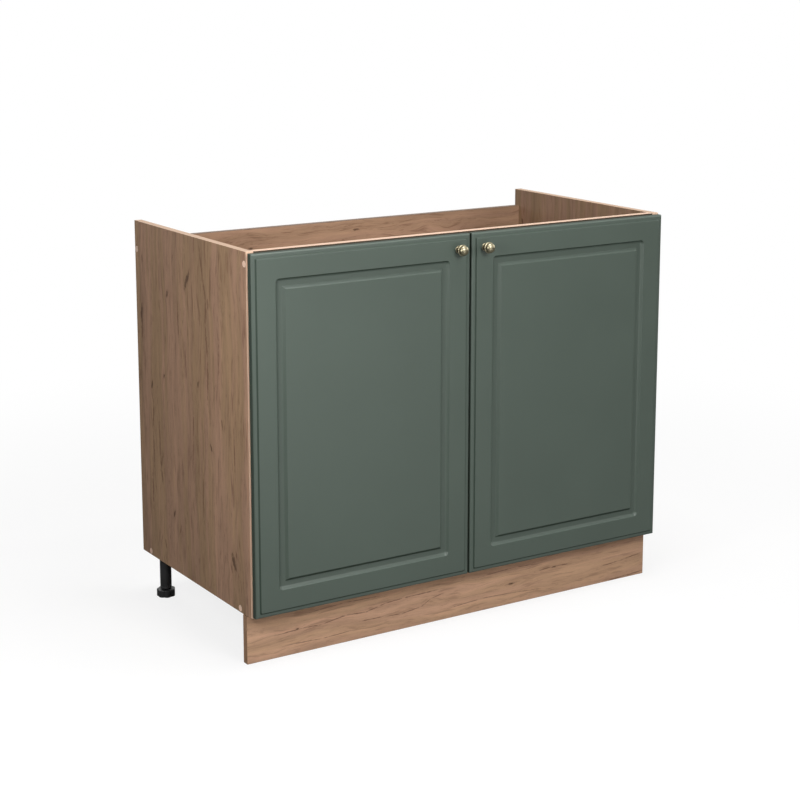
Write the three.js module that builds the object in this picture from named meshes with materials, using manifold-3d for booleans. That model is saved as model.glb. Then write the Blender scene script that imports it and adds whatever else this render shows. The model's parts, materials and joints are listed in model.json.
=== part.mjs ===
// Sink base cabinet: an open-topped carcass on four adjustable legs, two raised-panel doors on
// concealed hinges, a plinth board clipped to the front legs.
//
// Millimetres, +Z up. While it is built, X runs from the outer face of the left side panel to the
// right, Y from the front edge of the side panels to the back, and Z from the floor up. The last
// group moves the origin to the middle of the footprint.

import * as THREE from 'three';
import { mergeVertices } from 'three/addons/utils/BufferGeometryUtils.js';
import Module from 'manifold-3d';

const wasm = await Module();
wasm.setup();

// ---------------------------------------------------------------- driving dimensions

const CABINET_WIDTH = 1000;
const SIDE_DEPTH = 500;
const SIDE_HEIGHT = 720;
const LEG_HEIGHT = 100;
const BOARD = 16; // thickness of the carcass boards and of the plinth
const CLEARANCE = 0.3; // between pieces that fit into one another

const FRONT_RAIL_HEIGHT = 80;
const BACK_RAIL_HEIGHT = 80;
const BACK_RAIL_DROP = 38; // from the top of the sides down to the back rail

const DOOR_THICKNESS = 16;
const DOOR_GAP = 2; // between the carcass front and the back of a door
const DOOR_SIDE_REVEAL = 2;
const DOOR_TOP_REVEAL = 3;
const DOOR_BOTTOM_REVEAL = 3;
const DOOR_MIDDLE_GAP = 4;
const DOOR_EDGE_ROUND = 1.5;
const DOOR_RIM_WIDTH = 9.5; // the lowered strip round the door front
const DOOR_RIM_DROP = 1.8;
const GROOVE_INSET = 50.5; // from the door edge to the outer edge of the routed groove
const GROOVE_COVE = 7.5; // width of the hollow outer wall
const GROOVE_FLOOR = 7;
const GROOVE_SLOPE = 8; // width of the slope up to the raised field
const GROOVE_DEPTH = 4.5;
const GROOVE_CORNER = 10;

const KNOB_EDGE_DISTANCE = 30; // knob axis from the free edge and from the top of the door
const KNOB_BASE_RADIUS = 8;
const KNOB_HEAD_RADIUS = 11.5;
const KNOB_PROJECTION = 26;
const KNOB_THREAD_RADIUS = 2;
const KNOB_THREAD_DEPTH = 11; // how far the screw goes into the knob
const KNOB_SCREW_HEAD_RADIUS = 4;
const KNOB_SCREW_HEAD = 1.5;

const HINGE_END_DISTANCE = 100; // hinge axis from the top and from the bottom of a door
const CUP_BORE_RADIUS = 17.5;
const CUP_EDGE_WALL = 4; // from the hinged edge of the door to the cup bore
const CUP_DEPTH = 12;
const CUP_WALL = 0.7;
const CUP_FLANGE = 1.2;
const CUP_FLANGE_HALF_LENGTH = 31;
const CUP_FLANGE_HALF_WIDTH = 9;
const PIVOT_EDGE_DISTANCE = 6; // door turning axis from the hinged edge of the door
const PIVOT_DEPTH = 10; // and from the back of the door
const ARM_PIVOT_EDGE_DISTANCE = 26; // pin in the nose of the hinge arm, with the door shut
const ARM_PIVOT_DEPTH = 6.5;
const LINK_EYE_OFFSET = [2.8, 6]; // from the door turning axis to the link's cup end
const LINK_BOW_DEPTH = 9.9; // of the bent middle of a link, from the back of the door
const LINK_BOW_INSET = 4; // the bends of a link from its two ends
const LINK_HALF_WIDTH = 3.3;
const LINK_THICKNESS = 1.8;
const LINK_EYE_RADIUS = 1.1;
const LINK_BARREL_RADIUS = 2.3;
const HINGE_PIN_RADIUS = 1;
const ARM_HALF_WIDTH = 7;
const ARM_WALL = 1.4;
const ARM_STAND = 6; // from the inner face of the side to the arm
const ARM_HEIGHT = 11; // of the arm's channel, into the cabinet
const ARM_BACK = 58;
const ARM_NOSE_START = 5;
const PLATE_THICKNESS = 2.4;
const PLATE_SCREW_SETBACK = 37;
const PLATE_SCREW_HALF_PITCH = 16;
const PLATE_WING_HALF_LENGTH = 24;
const PLATE_WING_HALF_WIDTH = 7.5;
const PLATE_FRONT = 10;
const PLATE_BACK = 56;
const PLATE_SCREW_RADIUS = 2.5;
const PLATE_SCREW_LENGTH = 11;
const PLATE_SCREW_HEAD_RADIUS = 4.2;
const PLATE_SCREW_HEAD = 1.6;

const SCREW_SHANK_RADIUS = 3.4; // connecting screws through the side panels
const SCREW_HEAD_RADIUS = 5;
const SCREW_HEAD_LENGTH = 4.5;
const SCREW_LENGTH = 49;
const CAP_RADIUS = 6.5;
const CAP_THICKNESS = 1.2; // a cap lies flush in a shallow recess over its screw
const FRONT_RAIL_SCREW_DROP = 24; // below the top of the front rail
const BACK_RAIL_SCREW_DROP = 22; // below the top of the back rail
const BOTTOM_SCREW_FRONT = 47; // from the front edge of the side
const BOTTOM_SCREW_BACK = 40; // from the back edge of the side

const LEG_SIDE_DISTANCE = 35; // leg axis from the outer face of the side
const LEG_BACK_DISTANCE = 35;
const LEG_TUBE_RADIUS = 12.3;
const LEG_WALL = 5.5;
const LEG_TUBE_BORE_TOP = 82;
const LEG_FLANGE_HALF_WIDTH = 28;
const LEG_FLANGE_HALF_DEPTH = 20;
const LEG_FLANGE_CORNER = 8;
const LEG_FLANGE = 5;
const LEG_COLLAR = 8;
const LEG_COLLAR_WALL = 6;
const FOOT_RADIUS = 20;
const FOOT_SCALLOP = 2.2;
const FOOT_LOBES = 7;
const FOOT_HEIGHT = 16;
const FOOT_SPINDLE_TOP = 70;
const FOOT_GAP = 1.5; // between the foot and the end of the tube when fully screwed in

const PLINTH_SETBACK = 20; // from the carcass front to the plinth front
const PLINTH_TOP_GAP = 1;
const PLINTH_FOOT_GAP = 2;
const CLIP_HEIGHT = 14;
const CLIP_MIDDLE = 55; // height of the middle of the clip above the floor
const CLIP_WALL = 2.4;
const CLIP_PLATE_HALF_WIDTH = 20;
const CLIP_PLATE = 2.5;
const CLIP_OPENING = Math.PI * 0.62; // angle left open at the back of the ring

// ---------------------------------------------------------------- derived places

const TOP = LEG_HEIGHT + SIDE_HEIGHT;
const SCREW_HEAD_DEPTH = CAP_THICKNESS + CLEARANCE; // from the outer face of the side to the head
const INNER_LEFT = BOARD;
const INNER_RIGHT = CABINET_WIDTH - BOARD;
const BACK_RAIL_TOP = TOP - BACK_RAIL_DROP;

const DOOR_WIDTH = (CABINET_WIDTH - 2 * DOOR_SIDE_REVEAL - DOOR_MIDDLE_GAP) / 2;
const DOOR_HEIGHT = SIDE_HEIGHT - DOOR_TOP_REVEAL - DOOR_BOTTOM_REVEAL;
const DOOR_BOTTOM = LEG_HEIGHT + DOOR_BOTTOM_REVEAL;
const DOOR_FACE = -(DOOR_GAP + DOOR_THICKNESS); // Y of the door front
const KNOB_HEIGHT = DOOR_BOTTOM + DOOR_HEIGHT - KNOB_EDGE_DISTANCE;
const KNOB_INSET = DOOR_SIDE_REVEAL + DOOR_WIDTH - KNOB_EDGE_DISTANCE;
const FRONT_MOST = DOOR_FACE - KNOB_PROJECTION;

const HINGE_HEIGHTS = {
  lower: DOOR_BOTTOM + HINGE_END_DISTANCE,
  upper: DOOR_BOTTOM + DOOR_HEIGHT - HINGE_END_DISTANCE,
};
const CUP_INSET = DOOR_SIDE_REVEAL + CUP_EDGE_WALL + CUP_BORE_RADIUS;
const DOOR_PIVOT = [DOOR_SIDE_REVEAL + PIVOT_EDGE_DISTANCE, -(DOOR_GAP + PIVOT_DEPTH)];
const ARM_PIVOT = [DOOR_SIDE_REVEAL + ARM_PIVOT_EDGE_DISTANCE, -(DOOR_GAP + ARM_PIVOT_DEPTH)];
const LINK_EYE = [DOOR_PIVOT[0] + LINK_EYE_OFFSET[0], DOOR_PIVOT[1] + LINK_EYE_OFFSET[1]];
const LINK_BOW = -(DOOR_GAP + LINK_BOW_DEPTH);
const ARM_BASE = INNER_LEFT + ARM_STAND;
const ARM_TOP = ARM_BASE + ARM_HEIGHT;

const LEG_FRONT_DISTANCE = PLINTH_SETBACK + BOARD + PLINTH_FOOT_GAP + FOOT_RADIUS;
const PLINTH_BACK = PLINTH_SETBACK + BOARD;

// ---------------------------------------------------------------- materials

function material(color, roughness, metalness) {
  return new THREE.MeshStandardMaterial({ color, roughness, metalness });
}

const CARCASS_OAK = material(0x94745f, 0.62, 0);
const PLINTH_OAK = material(0xa5836c, 0.62, 0);
const DOOR_GREEN = material(0x5d675f, 0.55, 0);
const ANTIQUE_BRASS = material(0x8d7f4f, 0.3, 1);
const NICKEL_STEEL = material(0xb9bbbd, 0.3, 1);
const ZINC_STEEL = material(0xa8aaad, 0.4, 1);
const BLACK_PLASTIC = material(0x232323, 0.5, 0);
const CAP_PEACH = material(0xd9b79f, 0.6, 0);

// ---------------------------------------------------------------- geometry helpers

function signedVolume(geometry) {
  const position = geometry.attributes.position;
  const index = geometry.index;
  const a = new THREE.Vector3();
  const b = new THREE.Vector3();
  const c = new THREE.Vector3();
  let sum = 0;
  for (let i = 0; i < index.count; i += 3) {
    a.fromBufferAttribute(position, index.getX(i));
    b.fromBufferAttribute(position, index.getX(i + 1));
    c.fromBufferAttribute(position, index.getX(i + 2));
    sum += a.dot(b.cross(c));
  }
  return sum / 6;
}

// A closed indexed geometry with shared vertices and its faces pointing out.
function closed(geometry) {
  const bare = geometry.clone();
  bare.deleteAttribute('normal');
  bare.deleteAttribute('uv');
  const merged = mergeVertices(bare, 1e-4);
  if (signedVolume(merged) < 0) {
    const index = merged.index;
    for (let i = 0; i < index.count; i += 3) {
      const first = index.getX(i);
      index.setX(i, index.getX(i + 1));
      index.setX(i + 1, first);
    }
  }
  return merged;
}

function solid(geometry) {
  const merged = closed(geometry);
  const mesh = new wasm.Mesh({
    numProp: 3,
    vertProperties: new Float32Array(merged.attributes.position.array),
    triVerts: new Uint32Array(merged.index.array),
  });
  return new wasm.Manifold(mesh);
}

function geometryOf(manifold) {
  const mesh = manifold.getMesh();
  const geometry = new THREE.BufferGeometry();
  geometry.setAttribute('position', new THREE.BufferAttribute(mesh.vertProperties, 3));
  geometry.setIndex(new THREE.BufferAttribute(mesh.triVerts, 1));
  geometry.computeVertexNormals();
  return geometry;
}

function join(...geometries) {
  const solids = geometries.map(solid);
  return geometryOf(solids.reduce((whole, next) => whole.add(next)));
}

function cut(geometry, ...tools) {
  const solids = tools.map(solid);
  return geometryOf(solids.reduce((rest, tool) => rest.subtract(tool), solid(geometry)));
}

function box(x0, x1, y0, y1, z0, z1) {
  const geometry = new THREE.BoxGeometry(x1 - x0, y1 - y0, z1 - z0);
  geometry.translate((x0 + x1) / 2, (y0 + y1) / 2, (z0 + z1) / 2);
  return geometry;
}

const TURN_UP_AXIS = {
  x: (geometry) => geometry.rotateZ(-Math.PI / 2),
  y: (geometry) => geometry,
  '-y': (geometry) => geometry.rotateX(Math.PI),
  z: (geometry) => geometry.rotateX(Math.PI / 2),
};

// A profile of [radius, distance along the axis] points, turned about an axis through a point.
function turned(profile, axis, [x, y, z], segments = 24) {
  const points = profile.map(([radius, along]) => new THREE.Vector2(radius, along));
  const geometry = new THREE.LatheGeometry(points, segments);
  TURN_UP_AXIS[axis](geometry);
  geometry.translate(x, y, z);
  return geometryOf(solid(geometry));
}

function rod(radius, start, end, axis, place, segments = 20) {
  return turned([[0, start], [radius, start], [radius, end], [0, end]], axis, place, segments);
}

function polygon(points) {
  return new THREE.Shape(points.map(([x, y]) => new THREE.Vector2(x, y)));
}

// A prism over a plan outline, between two heights.
function prism(shape, z0, z1, curveSegments = 6) {
  const geometry = new THREE.ExtrudeGeometry(shape, { depth: z1 - z0, bevelEnabled: false, curveSegments });
  geometry.translate(0, 0, z0);
  return geometry;
}

function roundedRectangle(x0, x1, y0, y1, radius) {
  const shape = new THREE.Shape();
  shape.moveTo(x0 + radius, y0);
  shape.lineTo(x1 - radius, y0);
  shape.absarc(x1 - radius, y0 + radius, radius, -Math.PI / 2, 0);
  shape.lineTo(x1, y1 - radius);
  shape.absarc(x1 - radius, y1 - radius, radius, 0, Math.PI / 2);
  shape.lineTo(x0 + radius, y1);
  shape.absarc(x0 + radius, y1 - radius, radius, Math.PI / 2, Math.PI);
  shape.lineTo(x0, y0 + radius);
  shape.absarc(x0 + radius, y0 + radius, radius, Math.PI, Math.PI * 1.5);
  return shape;
}

// The right-hand copy of a piece that was made for the left-hand side.
function mirrored(geometry) {
  const copy = geometry.clone();
  copy.scale(-1, 1, 1);
  copy.translate(CABINET_WIDTH, 0, 0);
  return geometryOf(solid(copy));
}

const cabinet = new THREE.Group();

function place(name, geometry, finish) {
  const mesh = new THREE.Mesh(geometry, finish);
  mesh.name = name;
  cabinet.add(mesh);
  return mesh;
}

function placePair(name, geometry, finish) {
  place(`left_${name}`, geometry, finish);
  place(`right_${name}`, mirrored(geometry), finish);
}

// ---------------------------------------------------------------- connecting screws and caps

const MIDDLE_OF_BOARD = BOARD / 2;
const SCREW_PLACES = {
  front_rail: [MIDDLE_OF_BOARD, TOP - FRONT_RAIL_SCREW_DROP],
  back_rail: [SIDE_DEPTH - MIDDLE_OF_BOARD, BACK_RAIL_TOP - BACK_RAIL_SCREW_DROP],
  bottom_front: [BOTTOM_SCREW_FRONT, LEG_HEIGHT + MIDDLE_OF_BOARD],
  bottom_back: [SIDE_DEPTH - BOTTOM_SCREW_BACK, LEG_HEIGHT + MIDDLE_OF_BOARD],
};
const OUTSIDE = 2; // how far a cutting tool stands out of the face it starts from

function connectingScrew([y, z]) {
  const neck = SCREW_HEAD_DEPTH + SCREW_HEAD_LENGTH;
  const profile = [
    [0, SCREW_HEAD_DEPTH],
    [SCREW_HEAD_RADIUS, SCREW_HEAD_DEPTH],
    [SCREW_HEAD_RADIUS, neck - 1],
    [SCREW_SHANK_RADIUS, neck],
    [SCREW_SHANK_RADIUS, SCREW_HEAD_DEPTH + SCREW_LENGTH - 2],
    [0, SCREW_HEAD_DEPTH + SCREW_LENGTH],
  ];
  return turned(profile, 'x', [0, y, z], 12);
}

// The recess and bore for one connecting screw, through the side and into the board behind it.
function screwBores([y, z]) {
  const headEnd = SCREW_HEAD_DEPTH + SCREW_HEAD_LENGTH + CLEARANCE;
  const boreEnd = SCREW_HEAD_DEPTH + SCREW_LENGTH + CLEARANCE;
  return [
    rod(CAP_RADIUS + CLEARANCE, -OUTSIDE, SCREW_HEAD_DEPTH, 'x', [0, y, z], 16),
    rod(SCREW_HEAD_RADIUS + CLEARANCE, -OUTSIDE, headEnd, 'x', [0, y, z], 12),
    rod(SCREW_SHANK_RADIUS + CLEARANCE, -OUTSIDE, boreEnd, 'x', [0, y, z], 12),
  ];
}

for (const [name, spot] of Object.entries(SCREW_PLACES)) {
  placePair(`${name}_screw`, connectingScrew(spot), ZINC_STEEL);
  placePair(`${name}_cap`, rod(CAP_RADIUS, 0, CAP_THICKNESS, 'x', [0, ...spot], 16), CAP_PEACH);
}

// ---------------------------------------------------------------- carcass boards

function plateScrewBores() {
  const bores = [];
  for (const height of Object.values(HINGE_HEIGHTS)) {
    for (const side of [-1, 1]) {
      const spot = [0, PLATE_SCREW_SETBACK, height + side * PLATE_SCREW_HALF_PITCH];
      const start = INNER_LEFT - PLATE_SCREW_LENGTH - CLEARANCE;
      bores.push(rod(PLATE_SCREW_RADIUS + CLEARANCE, start, INNER_LEFT + OUTSIDE, 'x', spot, 8));
    }
  }
  return bores;
}

function sidePanel() {
  const board = box(0, BOARD, 0, SIDE_DEPTH, LEG_HEIGHT, TOP);
  const bores = Object.values(SCREW_PLACES).flatMap(screwBores);
  return cut(board, ...bores, ...plateScrewBores());
}

// A board between the sides, bored at both ends for its connecting screws.
function crossBoard(y0, y1, z0, z1, ...spots) {
  const bores = spots.flatMap(screwBores);
  const board = box(INNER_LEFT, INNER_RIGHT, y0, y1, z0, z1);
  return cut(board, ...bores, ...bores.map(mirrored));
}

placePair('side_panel', sidePanel(), CARCASS_OAK);

place(
  'bottom_panel',
  crossBoard(
    0,
    SIDE_DEPTH,
    LEG_HEIGHT,
    LEG_HEIGHT + BOARD,
    SCREW_PLACES.bottom_front,
    SCREW_PLACES.bottom_back,
  ),
  CARCASS_OAK,
);
place(
  'front_rail',
  crossBoard(0, BOARD, TOP - FRONT_RAIL_HEIGHT, TOP, SCREW_PLACES.front_rail),
  CARCASS_OAK,
);
place(
  'back_rail',
  crossBoard(
    SIDE_DEPTH - BOARD,
    SIDE_DEPTH,
    BACK_RAIL_TOP - BACK_RAIL_HEIGHT,
    BACK_RAIL_TOP,
    SCREW_PLACES.back_rail,
  ),
  CARCASS_OAK,
);

// ---------------------------------------------------------------- doors

// A door part is drawn flat, X to the right and Y up the door, with its depth growing from the
// back of the door to its front. This stands it up in the left doorway.
function stoodUp(geometry) {
  geometry.rotateX(Math.PI / 2);
  geometry.translate(DOOR_SIDE_REVEAL, -DOOR_GAP, DOOR_BOTTOM);
  return geometry;
}

function doorOutline(inset, corner = 0) {
  const right = DOOR_WIDTH - inset;
  const top = DOOR_HEIGHT - inset;
  if (corner > 0) {
    return roundedRectangle(inset, right, inset, top, corner);
  }
  return polygon([[inset, inset], [right, inset], [right, top], [inset, top]]);
}

// A slab over an outline whose walls draw in by `draw` over `rise` at each of its two ends.
function drawnSlab(outline, start, end, draw, rise, segments) {
  const geometry = new THREE.ExtrudeGeometry(outline, {
    depth: end - start - 2 * rise,
    bevelEnabled: true,
    bevelSize: draw,
    bevelOffset: -draw,
    bevelThickness: rise,
    bevelSegments: segments,
    curveSegments: 4,
  });
  geometry.translate(0, 0, start + rise);
  return geometry;
}

function doorPanel() {
  const rimLevel = DOOR_THICKNESS - DOOR_RIM_DROP;
  const grooveLevel = DOOR_THICKNESS - GROOVE_DEPTH;
  const fieldInset = GROOVE_INSET + GROOVE_COVE + GROOVE_FLOOR;
  const body = drawnSlab(doorOutline(0), 0, rimLevel, DOOR_EDGE_ROUND, DOOR_EDGE_ROUND, 2);
  const face = prism(doorOutline(DOOR_RIM_WIDTH), grooveLevel, DOOR_THICKNESS);
  const pocketEnd = DOOR_THICKNESS + 2 * GROOVE_DEPTH;
  const pocket = drawnSlab(
    doorOutline(GROOVE_INSET, GROOVE_CORNER),
    grooveLevel,
    pocketEnd,
    GROOVE_COVE,
    GROOVE_DEPTH,
    2,
  );
  const field = drawnSlab(
    doorOutline(fieldInset),
    grooveLevel - 2 * GROOVE_DEPTH,
    DOOR_THICKNESS,
    GROOVE_SLOPE,
    GROOVE_DEPTH,
    1,
  );
  const groove = cut(pocket, field);
  return stoodUp(cut(join(body, face), groove));
}

function cupBore(height) {
  const spot = [CUP_INSET, -DOOR_GAP, height];
  return rod(CUP_BORE_RADIUS, -OUTSIDE, CUP_DEPTH + CLEARANCE, '-y', spot, 24);
}

function knobScrewBore() {
  const spot = [KNOB_INSET, -DOOR_GAP, KNOB_HEIGHT];
  const end = DOOR_THICKNESS + OUTSIDE;
  return rod(KNOB_THREAD_RADIUS + CLEARANCE, -OUTSIDE, end, '-y', spot, 12);
}

function door() {
  const bores = Object.values(HINGE_HEIGHTS).map(cupBore);
  return cut(doorPanel(), ...bores, knobScrewBore());
}

placePair('door', door(), DOOR_GREEN);

// ---------------------------------------------------------------- knobs

function knob() {
  const boreRadius = KNOB_THREAD_RADIUS + CLEARANCE;
  const boreEnd = KNOB_THREAD_DEPTH + CLEARANCE;
  const profile = [
    [0, boreEnd],
    [boreRadius, boreEnd],
    [boreRadius, 0],
    [KNOB_BASE_RADIUS, 0],
    [KNOB_BASE_RADIUS, 1.6],
    [KNOB_BASE_RADIUS - 2, 3.2],
    [KNOB_BASE_RADIUS - 3.8, 7],
    [KNOB_BASE_RADIUS - 2, 12],
    [KNOB_HEAD_RADIUS - 1.6, 13.6],
    [KNOB_HEAD_RADIUS, 15.4],
    [KNOB_HEAD_RADIUS, KNOB_PROJECTION - 8],
    [KNOB_HEAD_RADIUS - 2, KNOB_PROJECTION - 3.6],
    [KNOB_HEAD_RADIUS - 6.5, KNOB_PROJECTION - 0.8],
    [0, KNOB_PROJECTION],
  ];
  return turned(profile, '-y', [KNOB_INSET, DOOR_FACE, KNOB_HEIGHT], 20);
}

function knobScrew() {
  const end = DOOR_THICKNESS + KNOB_THREAD_DEPTH;
  const profile = [
    [0, -KNOB_SCREW_HEAD],
    [KNOB_SCREW_HEAD_RADIUS, -KNOB_SCREW_HEAD],
    [KNOB_SCREW_HEAD_RADIUS, 0],
    [KNOB_THREAD_RADIUS, 0],
    [KNOB_THREAD_RADIUS, end],
    [0, end],
  ];
  return turned(profile, '-y', [KNOB_INSET, -DOOR_GAP, KNOB_HEIGHT], 12);
}

placePair('knob', knob(), ANTIQUE_BRASS);
placePair('knob_screw', knobScrew(), ZINC_STEEL);

// ---------------------------------------------------------------- concealed hinges

function hingeCup(height) {
  const outer = CUP_BORE_RADIUS - CLEARANCE;
  const spot = [CUP_INSET, -DOOR_GAP, height];
  const shell = rod(outer, 0, CUP_DEPTH, '-y', spot, 24);
  const hollow = rod(outer - CUP_WALL, -OUTSIDE, CUP_DEPTH - CUP_WALL, '-y', spot, 24);
  const back = -DOOR_GAP;
  const wings = box(
    CUP_INSET - CUP_FLANGE_HALF_WIDTH,
    CUP_INSET + CUP_FLANGE_HALF_WIDTH,
    back,
    back + CUP_FLANGE,
    height - CUP_FLANGE_HALF_LENGTH,
    height + CUP_FLANGE_HALF_LENGTH,
  );
  const rim = rod(outer + 2, -CUP_FLANGE, 0, '-y', spot, 24);
  return cut(join(shell, wings, rim), hollow);
}

// The middle line of a link: out of the arm's nose, down into the cup, up again to its eye.
function linkLine() {
  return [
    ARM_PIVOT,
    [ARM_PIVOT[0] - LINK_BOW_INSET, LINK_BOW],
    [LINK_EYE[0] + LINK_BOW_INSET, LINK_BOW],
    LINK_EYE,
  ];
}

function linkBar([x0, y0], [x1, y1]) {
  const run = Math.hypot(x1 - x0, y1 - y0);
  const half = LINK_THICKNESS / 2;
  const sideX = (-(y1 - y0) / run) * half;
  const sideY = ((x1 - x0) / run) * half;
  return polygon([
    [x0 + sideX, y0 + sideY],
    [x0 - sideX, y0 - sideY],
    [x1 - sideX, y1 - sideY],
    [x1 + sideX, y1 + sideY],
  ]);
}

function hingeLink(height) {
  const low = height - LINK_HALF_WIDTH;
  const high = height + LINK_HALF_WIDTH;
  const line = linkLine();
  const parts = [];
  for (let i = 0; i + 1 < line.length; i += 1) {
    parts.push(prism(linkBar(line[i], line[i + 1]), low, high));
  }
  for (const [x, y] of line.slice(1, 3)) {
    parts.push(rod(LINK_THICKNESS / 2, low, high, 'z', [x, y, 0], 8));
  }
  parts.push(rod(LINK_BARREL_RADIUS, low, high, 'z', [...ARM_PIVOT, 0], 16));
  parts.push(rod(LINK_EYE_RADIUS, low, high, 'z', [...LINK_EYE, 0], 12));
  const holeRadius = HINGE_PIN_RADIUS + CLEARANCE;
  const pinHole = rod(holeRadius, low - OUTSIDE, high + OUTSIDE, 'z', [...ARM_PIVOT, 0], 12);
  return cut(join(...parts), pinHole);
}

function hingeArm(height) {
  const low = height - ARM_HALF_WIDTH;
  const high = height + ARM_HALF_WIDTH;
  const block = box(ARM_BASE, ARM_TOP, ARM_NOSE_START, ARM_BACK, low, high);
  const [pivotX, pivotY] = ARM_PIVOT;
  const nose = prism(
    polygon([
      [pivotX - LINK_BARREL_RADIUS, pivotY],
      [pivotX - 1.2, pivotY - LINK_BARREL_RADIUS],
      [pivotX + 1.2, pivotY - LINK_BARREL_RADIUS],
      [pivotX + LINK_BARREL_RADIUS + 0.6, pivotY],
      [ARM_TOP, ARM_NOSE_START],
      [ARM_TOP, ARM_NOSE_START + ARM_WALL],
      [ARM_BASE, ARM_NOSE_START + ARM_WALL],
    ]),
    low,
    high,
  );
  const channel = box(
    ARM_BASE - OUTSIDE,
    ARM_TOP - ARM_WALL,
    pivotY - 2 * LINK_BARREL_RADIUS,
    ARM_BACK - ARM_WALL,
    low + ARM_WALL,
    high - ARM_WALL,
  );
  const pin = rod(HINGE_PIN_RADIUS, low + ARM_WALL / 2, high - ARM_WALL / 2, 'z', [pivotX, pivotY, 0], 12);
  return join(cut(join(block, nose), channel), pin);
}

function hingePlate(height) {
  const spineHalf = ARM_HALF_WIDTH - ARM_WALL - CLEARANCE;
  const spineTop = ARM_TOP - ARM_WALL - CLEARANCE;
  const plateTop = INNER_LEFT + PLATE_THICKNESS;
  const parts = [
    box(INNER_LEFT, plateTop, PLATE_FRONT, PLATE_BACK, height - ARM_HALF_WIDTH, height + ARM_HALF_WIDTH),
    box(
      INNER_LEFT,
      plateTop,
      PLATE_SCREW_SETBACK - PLATE_WING_HALF_WIDTH,
      PLATE_SCREW_SETBACK + PLATE_WING_HALF_WIDTH,
      height - PLATE_WING_HALF_LENGTH,
      height + PLATE_WING_HALF_LENGTH,
    ),
    box(INNER_LEFT, spineTop, PLATE_FRONT, PLATE_BACK - ARM_WALL, height - spineHalf, height + spineHalf),
  ];
  for (const side of [-1, 1]) {
    const spot = [INNER_LEFT, PLATE_SCREW_SETBACK, height + side * PLATE_SCREW_HALF_PITCH];
    const head = PLATE_THICKNESS + PLATE_SCREW_HEAD;
    parts.push(rod(PLATE_SCREW_RADIUS, -PLATE_SCREW_LENGTH, PLATE_THICKNESS, 'x', spot, 8));
    parts.push(rod(PLATE_SCREW_HEAD_RADIUS, 0, head, 'x', spot, 12));
  }
  return join(...parts);
}

for (const [level, height] of Object.entries(HINGE_HEIGHTS)) {
  placePair(`${level}_hinge_cup`, hingeCup(height), NICKEL_STEEL);
  placePair(`${level}_hinge_link`, hingeLink(height), NICKEL_STEEL);
  placePair(`${level}_hinge_arm`, hingeArm(height), NICKEL_STEEL);
  placePair(`${level}_hinge_plate`, hingePlate(height), NICKEL_STEEL);
}

// ---------------------------------------------------------------- adjustable legs

const LEG_PLACES = {
  front: LEG_FRONT_DISTANCE,
  back: SIDE_DEPTH - LEG_BACK_DISTANCE,
};
const COLLAR_BOTTOM = LEG_HEIGHT - LEG_FLANGE - LEG_COLLAR;
const TUBE_TOP = LEG_HEIGHT - LEG_FLANGE;
const BORE_RADIUS = LEG_TUBE_RADIUS - LEG_WALL;

function legMount(y) {
  const x = LEG_SIDE_DISTANCE;
  const outline = roundedRectangle(
    x - LEG_FLANGE_HALF_WIDTH,
    x + LEG_FLANGE_HALF_WIDTH,
    y - LEG_FLANGE_HALF_DEPTH,
    y + LEG_FLANGE_HALF_DEPTH,
    LEG_FLANGE_CORNER,
  );
  const flange = prism(outline, LEG_HEIGHT - LEG_FLANGE, LEG_HEIGHT, 3);
  const collar = rod(
    LEG_TUBE_RADIUS + CLEARANCE + LEG_COLLAR_WALL,
    COLLAR_BOTTOM,
    LEG_HEIGHT - LEG_FLANGE / 2,
    'z',
    [x, y, 0],
    20,
  );
  const socket = rod(LEG_TUBE_RADIUS + CLEARANCE, COLLAR_BOTTOM - OUTSIDE, TUBE_TOP, 'z', [x, y, 0], 20);
  return cut(join(flange, collar), socket);
}

function legTube(y) {
  const bottom = FOOT_HEIGHT + FOOT_GAP;
  const profile = [
    [0, LEG_TUBE_BORE_TOP],
    [BORE_RADIUS, LEG_TUBE_BORE_TOP],
    [BORE_RADIUS, bottom],
    [LEG_TUBE_RADIUS, bottom],
    [LEG_TUBE_RADIUS, TUBE_TOP],
    [0, TUBE_TOP],
  ];
  return turned(profile, 'z', [LEG_SIDE_DISTANCE, y, 0], 20);
}

function scallopedOutline(x, y) {
  const steps = FOOT_LOBES * 4;
  const points = [];
  for (let i = 0; i < steps; i += 1) {
    const turn = (i / steps) * 2 * Math.PI;
    const radius = FOOT_RADIUS - FOOT_SCALLOP * (1 - Math.abs(Math.cos((FOOT_LOBES / 2) * turn)));
    points.push([x + radius * Math.cos(turn), y + radius * Math.sin(turn)]);
  }
  return polygon(points);
}

function legFoot(y) {
  const x = LEG_SIDE_DISTANCE;
  const disc = prism(scallopedOutline(x, y), 0, FOOT_HEIGHT);
  const spindle = rod(BORE_RADIUS - CLEARANCE, FOOT_HEIGHT / 2, FOOT_SPINDLE_TOP, 'z', [x, y, 0], 14);
  return join(disc, spindle);
}

for (const [end, y] of Object.entries(LEG_PLACES)) {
  placePair(`${end}_leg_mount`, legMount(y), BLACK_PLASTIC);
  placePair(`${end}_leg_tube`, legTube(y), BLACK_PLASTIC);
  placePair(`${end}_leg_foot`, legFoot(y), BLACK_PLASTIC);
}

// ---------------------------------------------------------------- plinth and its clips

place(
  'plinth_board',
  box(0, CABINET_WIDTH, PLINTH_SETBACK, PLINTH_BACK, 0, LEG_HEIGHT - PLINTH_TOP_GAP),
  PLINTH_OAK,
);

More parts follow.
